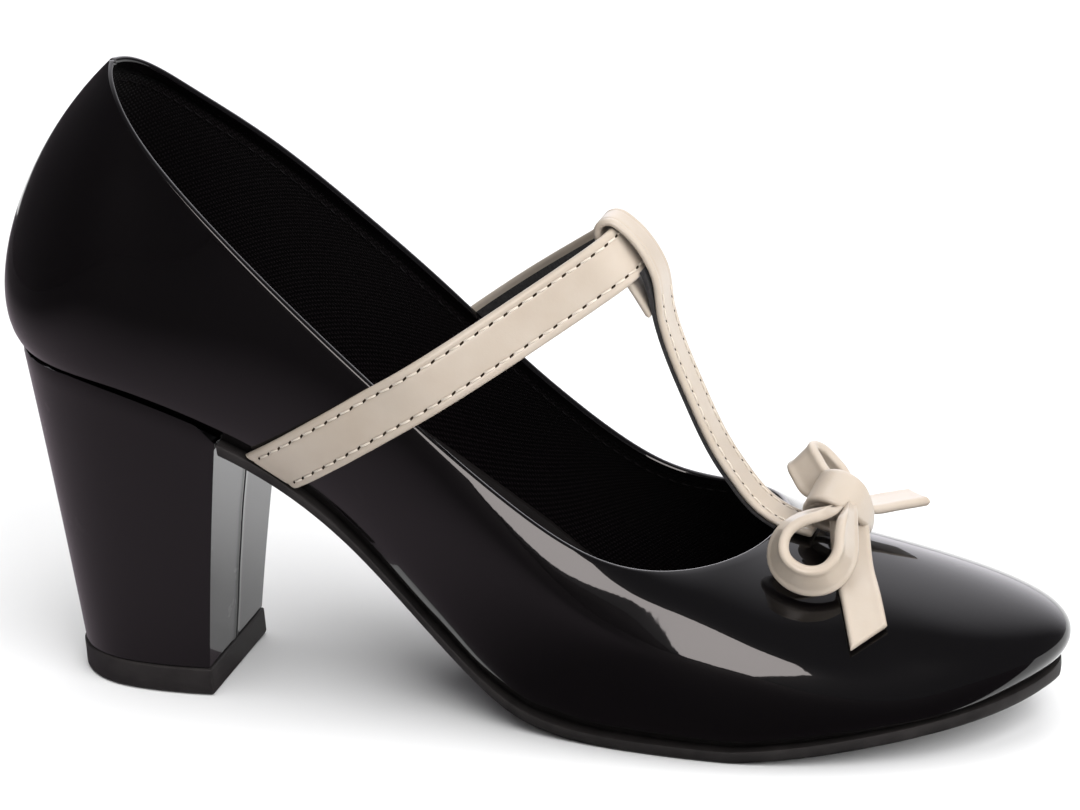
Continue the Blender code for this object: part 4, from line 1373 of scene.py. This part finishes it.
FAR_RIBBON = (
    Ribbon("in_knot_near", -9.3, 2.6, 2.9, 2.5),
    Ribbon("at_knot_near", -6.5, 3.0, 1.2, 3.5),
    Ribbon("knot_near", -3.6, 3.2, 0.0, 4.2),
    Ribbon("near_side", 1.5, 3.0, 0.0, 4.3),
    Ribbon("near_end", 3.8, 2.5, 0.0, 4.3),
    Ribbon("end", 4.7, 0.6, 0.0, 4.3),
    Ribbon("far_end", 3.7, -1.8, 0.0, 4.3),
    Ribbon("far_side", 0.8, -3.2, 0.0, 4.3),
    Ribbon("far_strand", -2.1, -3.9, 0.0, 4.3),
    Ribbon("knot_far", -4.2, -3.7, 0.0, 4.2),
    Ribbon("at_knot_far", -6.8, -1.8, 1.4, 3.5),
    Ribbon("in_knot_far", -9.3, 1.2, 2.9, 2.5),
)
TailPoint = namedtuple("TailPoint", "place x y lift level")
NEAR_TAIL = (
    TailPoint("in_knot", 188.8, -3.0, 4.4, 0.0),
    TailPoint("knot", 190.0, -5.6, 2.8, 0.0),
    TailPoint("upper", 192.6, -11.5, 0.6, 0.0),
    TailPoint("lower", 196.2, -18.5, 0.6, 0.0),
    TailPoint("end", 200.2, -26.7, 1.5, 0.0),
)
FAR_TAIL = (
    TailPoint("in_knot", 186.8, 3.9, 4.4, 1.0),
    TailPoint("knot", 189.8, 6.0, 4.7, 1.0),
    TailPoint("middle", 193.8, 8.6, 6.4, 1.0),
    TailPoint("end", 198.2, 11.6, 8.6, 0.9),
)
NEAR_TAIL_CUT = 2.3
FAR_TAIL_CUT = 0.4
LEVEL_FACING = np.array((0.0, 0.09, 1.0))


def bow_loop_band(frame_row, ribbon):
    """One loop of the bow: a ribbon standing on edge round the loop's axis."""
    axis = unit(np.array(frame_row.axis))
    along = np.array(frame_row.along)
    along = unit(along - axis * along.dot(axis))
    side = np.cross(axis, along)
    rows = [(p.ahead, p.side, p.rise, p.half) for p in ribbon]
    flat = soften(path_spline(rows, LOOP_POINTS), LOOP_SOFT)
    ring = flat[:, :1] * along + flat[:, 1:2] * side
    middle = np.array(frame_row.centre) + ring + flat[:, 2:3] * axis
    slope = flat[:, 3:] * unit(frame_row.flare * unit(ring) - axis)
    return band_between(middle + slope, middle - slope, 1.0)


def bow_tail_band(rows, cut):
    """One free end of the bow, over the vamp, cut slantwise at its end."""
    points, normals = [], []
    for p in rows:
        point, normal = over_vamp(p.x, p.y, GAP + RIBBON_THICK / 2 + p.lift)
        points.append(point)
        normals.append(unit(normal * (1 - p.level) + LEVEL_FACING * p.level))
    path = soften(path_spline(np.hstack([points, normals]), TAIL_POINTS), TAIL_SOFT)
    middle, facing = path[:, :3], unit(path[:, 3:])
    run = run_along(middle)
    across = unit(np.cross(facing, unit(np.gradient(middle, axis=0)))) * RIBBON_WIDTH / 2
    edges = []
    for sign in (-1, 1):
        place = np.linspace(0, run[-1] - cut * (1 + sign), TAIL_POINTS)
        edges.append(read_at(middle + sign * across, run, place))
    return band_between(*edges, 1.0)


BOW_LOOPS = (("bow_loop_near", NEAR_LOOP, NEAR_RIBBON), ("bow_loop_far", FAR_LOOP, FAR_RIBBON))
BOW_TAILS = (("bow_tail_near", NEAR_TAIL, NEAR_TAIL_CUT), ("bow_tail_far", FAR_TAIL, FAR_TAIL_CUT))
for name, row, ribbon in BOW_LOOPS:
    make_band(name, bow_loop_band(row, ribbon), RIBBON_THICK, [ivory], [name],
              RIBBON_PITCH, bead=RIBBON_BEAD)
for name, rows, cut in BOW_TAILS:
    make_band(name, bow_tail_band(rows, cut), RIBBON_THICK, [ivory], [name],
              RIBBON_PITCH, round_end=TAIL_ROUND, bead=RIBBON_BEAD / 2)

# %% [markdown]
# ## The knot
# The knot is the same strip wound round the waist of the bow. Its outer end lies open at the
# back of the top; from there it runs over the front, narrows, and is tucked down in front of
# the strap. A second turn lies under it. A ball would read as a bead, so the knot is wound.

# %% Knot
KNOT_CENTRE = np.array((187.3, -1.7, 48.2))
KNOT_AXIS = unit(np.array((0.206, 0.860, 0.463)))
Winding = namedtuple("Winding", "place angle reach half")
KNOT_POINTS = 400
KNOT_SOFT = 8
KNOT_PITCH = 0.3
ANGLE_UNIT = 10.0
KNOT_OUTER = (
    Winding("open_end", 142.0, 5.7, 4.3),
    Winding("top_back", 110.0, 6.1, 4.4),
    Winding("top", 75.0, 6.3, 4.4),
    Winding("front_high", 40.0, 6.1, 4.1),
    Winding("front", 5.0, 6.0, 3.3),
    Winding("front_low", -28.0, 7.2, 2.1),
    Winding("tuck", -54.0, 9.0, 1.2),
)
KNOT_INNER = (
    Winding("under_start", 262.0, 5.2, 4.0),
    Winding("under_back", 215.0, 6.0, 4.2),
    Winding("under_open_end", 170.0, 5.9, 4.2),
    Winding("under_top", 120.0, 4.6, 4.0),
    Winding("under_front", 20.0, 4.2, 3.8),
    Winding("under_foot", -80.0, 4.2, 3.8),
)


def knot_band(windings):
    """One turn of the knot's strip round its axis."""
    fore = unit(np.array((1.0, 0.0, 0.0)) - KNOT_AXIS * KNOT_AXIS[0])
    up = np.cross(fore, KNOT_AXIS)
    rows = [(w.angle / ANGLE_UNIT, w.reach, w.half) for w in windings]
    angle, reach, half = path_spline(rows, KNOT_POINTS).T
    angle = np.radians(angle * ANGLE_UNIT)
    flat = (np.cos(angle) * reach)[:, None] * fore + (np.sin(angle) * reach)[:, None] * up
    middle = soften(KNOT_CENTRE + flat, KNOT_SOFT)
    across = KNOT_AXIS * half[:, None]
    return band_between(middle - across, middle + across, 1.0)


make_band("bow_knot", knot_band(KNOT_OUTER), RIBBON_THICK, [ivory], ["bow_knot"],
          KNOT_PITCH)
make_band("bow_knot_under", knot_band(KNOT_INNER), RIBBON_THICK, [ivory], (),
          RIBBON_PITCH)

# %% [markdown]
# ## Collar stitches
# Inside the topline the lining is caught by one row of black stitches just below the patent
# facing. They are hard to see, and still give the inside its edge, so they are thread as well.

# %% Collar stitches
COLLAR_ROW_DEPTH = 4.6
COLLAR_LIFT = 0.02
COLLAR_ENDS = (0.002, 0.998)
COLLAR_POINTS = 900
COLLAR_WALL_STEPS = 41
COLLAR_STITCH = Stitch(2.8, 0.6, 0.34, 0.0, 0.0)
black_thread = grained_finish("black_thread", (0.004, 0.0035, 0.004), 0.6, (0.3, 1.0, 0.05), (3.0, 2.0),
                              (0.0022, 0.0019, 0.0022), (0.0062, 0.0054, 0.006),
                              Specular_IOR_Level=0.15)


def collar_line():
    """A line round the inside, a fixed depth below the topline."""
    u = np.linspace(*COLLAR_ENDS, COLLAR_POINTS)
    down = 1 - COLLAR_ROW_DEPTH / wall_length(u, np.linspace(0, 1, COLLAR_WALL_STEPS))
    inward = -upper_normal(u, down)
    line = upper_outside(u, down) + inward * (WALL + COLLAR_LIFT)
    return line, inward, unit(np.cross(np.gradient(line, axis=0), inward))


stitch_rows("collar_stitches", [collar_line()], [black_thread, needle_hole_shade], COLLAR_STITCH)

# %% [markdown]
# ## Floor
# The shoe stands on a pale sweep that reaches far past the picture, so its edge is never seen.
# It belongs to the stage and not to the shoe, so it is not hung on the shoe's root.

# %% Floor
FLOOR_REACH = 6.0


def flat_sheet(name, points, faces, finish):
    """A sheet of flat faces with one finish."""
    mesh = bpy.data.meshes.new(name)
    mesh.from_pydata(points, [], faces)
    mesh.materials.append(finish)
    made = bpy.data.objects.new(name, mesh)
    scene.collection.objects.link(made)
    return made


pale = grained_finish("pale_floor", (0.82, 0.82, 0.82), 0.7, None, (400.0, 2.0), (0.81, 0.81, 0.814),
                      (0.83, 0.83, 0.832), Specular_IOR_Level=0.1)
corners = [(FLOOR_REACH * x, FLOOR_REACH * y, 0.0) for x, y in ((-1, -1), (1, -1), (1, 1), (-1, 1))]
floor = flat_sheet("floor", corners, [range(4)], pale)
print("floor reaches", FLOOR_REACH, "m")

# %% [markdown]
# ## Light
# Two large softboxes light the shoe from above and from the toe side. Patent also shows what
# stands around it, so a sky that is bright far behind the shoe is there for its reflections
# alone. A picture of a studio could be wrapped round the scene, but a fade in one direction is
# easier to aim.

# %% Light
def fade(tree, value, span, ends=(0.0, 1.0)):
    """A soft step of a value over a span, from one end value to the other."""
    inputs = dict(zip(("From Min", "From Max", "To Min", "To Max"), span + ends), Value=value)
    step = add_node(tree, "ShaderNodeMapRange", inputs, interpolation_type="SMOOTHSTEP")
    return step.outputs["Result"]


scene.view_settings.view_transform = "Standard"
SKY_TOWARD = (-0.65, 0.7, 0.3)
SKY_SPAN = (0.05, 1.0)
SKY_STRENGTH = (0.14, 2.3)
SKY_TINT = (0.97, 0.95, 1.0, 1.0)
world = bpy.data.worlds.new("studio")
scene.world = world
world.use_nodes = True
world.cycles_visibility.diffuse = False
sky = world.node_tree
background = sky.nodes["Background"]
background.inputs["Color"].default_value = SKY_TINT
sky_place = add_node(sky, "ShaderNodeTexCoord").outputs["Generated"]
sky_side = add_node(sky, "ShaderNodeVectorMath", {0: sky_place, 1: SKY_TOWARD}, operation="DOT_PRODUCT")
wire(sky, background, Strength=fade(sky, sky_side.outputs["Value"], SKY_SPAN, SKY_STRENGTH))

Lamp = namedtuple("Lamp", "name place wide tall power")
LAMPS = (
    Lamp("overhead_softbox", (-0.1, 0.1, 1.7), 2.4, 2.0, 39.0),
    Lamp("front_softbox", (1.5, -0.9, 1.3), 2.4, 1.6, 85.0),
)
for row in LAMPS:
    data = bpy.data.lights.new(row.name, "AREA")
    data.shape = "RECTANGLE"
    data.size = row.wide
    data.size_y = row.tall
    data.energy = row.power
    lamp = bpy.data.objects.new(row.name, data)
    lamp.location = row.place
    lamp.rotation_euler = (-Vector(row.place)).to_track_quat("-Z", "Y").to_euler()
    lamp.visible_camera = False
    lamp.visible_glossy = False
    scene.collection.objects.link(lamp)

print(len(LAMPS), "softboxes under the sky")

# %% [markdown]
# ## Shine card and dark flag
# A photographer shapes the shine on patent with cards and flags. A bright card draws the long
# shine on the vamp, and a dark flag on the near floor and at the left keeps the near wall
# black. Lamps could do the first, but they would also light the floor. These two sheets show in
# reflections alone, so they light nothing and throw no shadow.

# %% Shine card and dark flag
CARD_PLACE = Vector((-0.01, -1.333, 0.554))
CARD_AIM = Vector((0.045, -0.035, 0.03))
CARD_OUTLINE = ((-0.31, -0.56), (-0.08, -0.56), (0.2, -0.116), (0.4, 0.28), (0.4, 0.565),
                (-0.14, 0.565), (-0.13, 0.3), (-0.16, 0.15), (-0.295, -0.42))
CARD_TINT = (1.0, 0.92, 0.9, 1.0)
CARD_GLOW = 6.7


def mirror_sheet(name, points, faces, finish):
    """A sheet of the stage that shows in reflections and nowhere else."""
    made = flat_sheet(name, points, faces, finish)
    made.visible_camera = False
    made.visible_diffuse = False
    made.visible_shadow = False
    made.visible_transmission = False


toward = (CARD_AIM - CARD_PLACE).normalized()
card_right = toward.cross(Vector((0.0, 0.0, 1.0))).normalized()
card_up = card_right.cross(toward)
glow, _, _ = new_finish("shine_card", (0.0, 0.0, 0.0), 1.0, Emission_Strength=CARD_GLOW,
                        Emission_Color=CARD_TINT)
card = [CARD_PLACE + card_right * a + card_up * b for a, b in CARD_OUTLINE]
mirror_sheet("shine_card", card, [range(len(card))], glow)

FLAG_RISE = 0.0005
FLAG_FLOOR = ((-9.0, -9.0), (9.0, -9.0), (9.0, -0.022), (-0.065, -0.022), (-0.065, 0.0),
              (-0.1, 0.0), (-0.1, 0.25), (-9.0, 2.0))
FLAG_WALL = ((-2.0, 0.0), (0.6, 0.0), (0.6, 1.2), (-2.0, 1.2))
FLAG_WALL_X = -0.5
FLAG_NEAR = (-0.3, -0.05)
FLAG_LEFT = (0.0, -0.09)
FLAG_RIGHT = (-0.4, -0.2)
FLAG_DARK = (0.025, 0.02, 0.023)
FLAG_GREY = (0.2, 0.165, 0.187)
# Round the heel's back the flag turns lighter grey: a painted reflection that gives the heel's walls a
# grey sheen.
flag_finish, tree, shader = new_finish("dark_flag", FLAG_DARK, 0.9)
spot = add_node(tree, "ShaderNodeSeparateXYZ", {"Vector": shoe_place(tree)})
heel_side = fade(tree, spot.outputs["X"], FLAG_LEFT)
for axis, span in (("X", FLAG_RIGHT), ("Y", FLAG_NEAR)):
    heel_side = sums(tree, "MULTIPLY", heel_side, fade(tree, spot.outputs[axis], span))
wire(tree, shader, Base_Color=tint(tree, heel_side, FLAG_DARK, FLAG_GREY, 0.0, 1.0))
floor_part = [(x, y, FLAG_RISE) for x, y in FLAG_FLOOR]
wall_part = [(FLAG_WALL_X, y, z) for y, z in FLAG_WALL]
flag = floor_part + wall_part
parts = [range(len(floor_part)), range(len(floor_part), len(flag))]
mirror_sheet("dark_flag", flag, parts, flag_finish)
print("a shine card of", len(card), "corners and a dark flag of", len(flag))
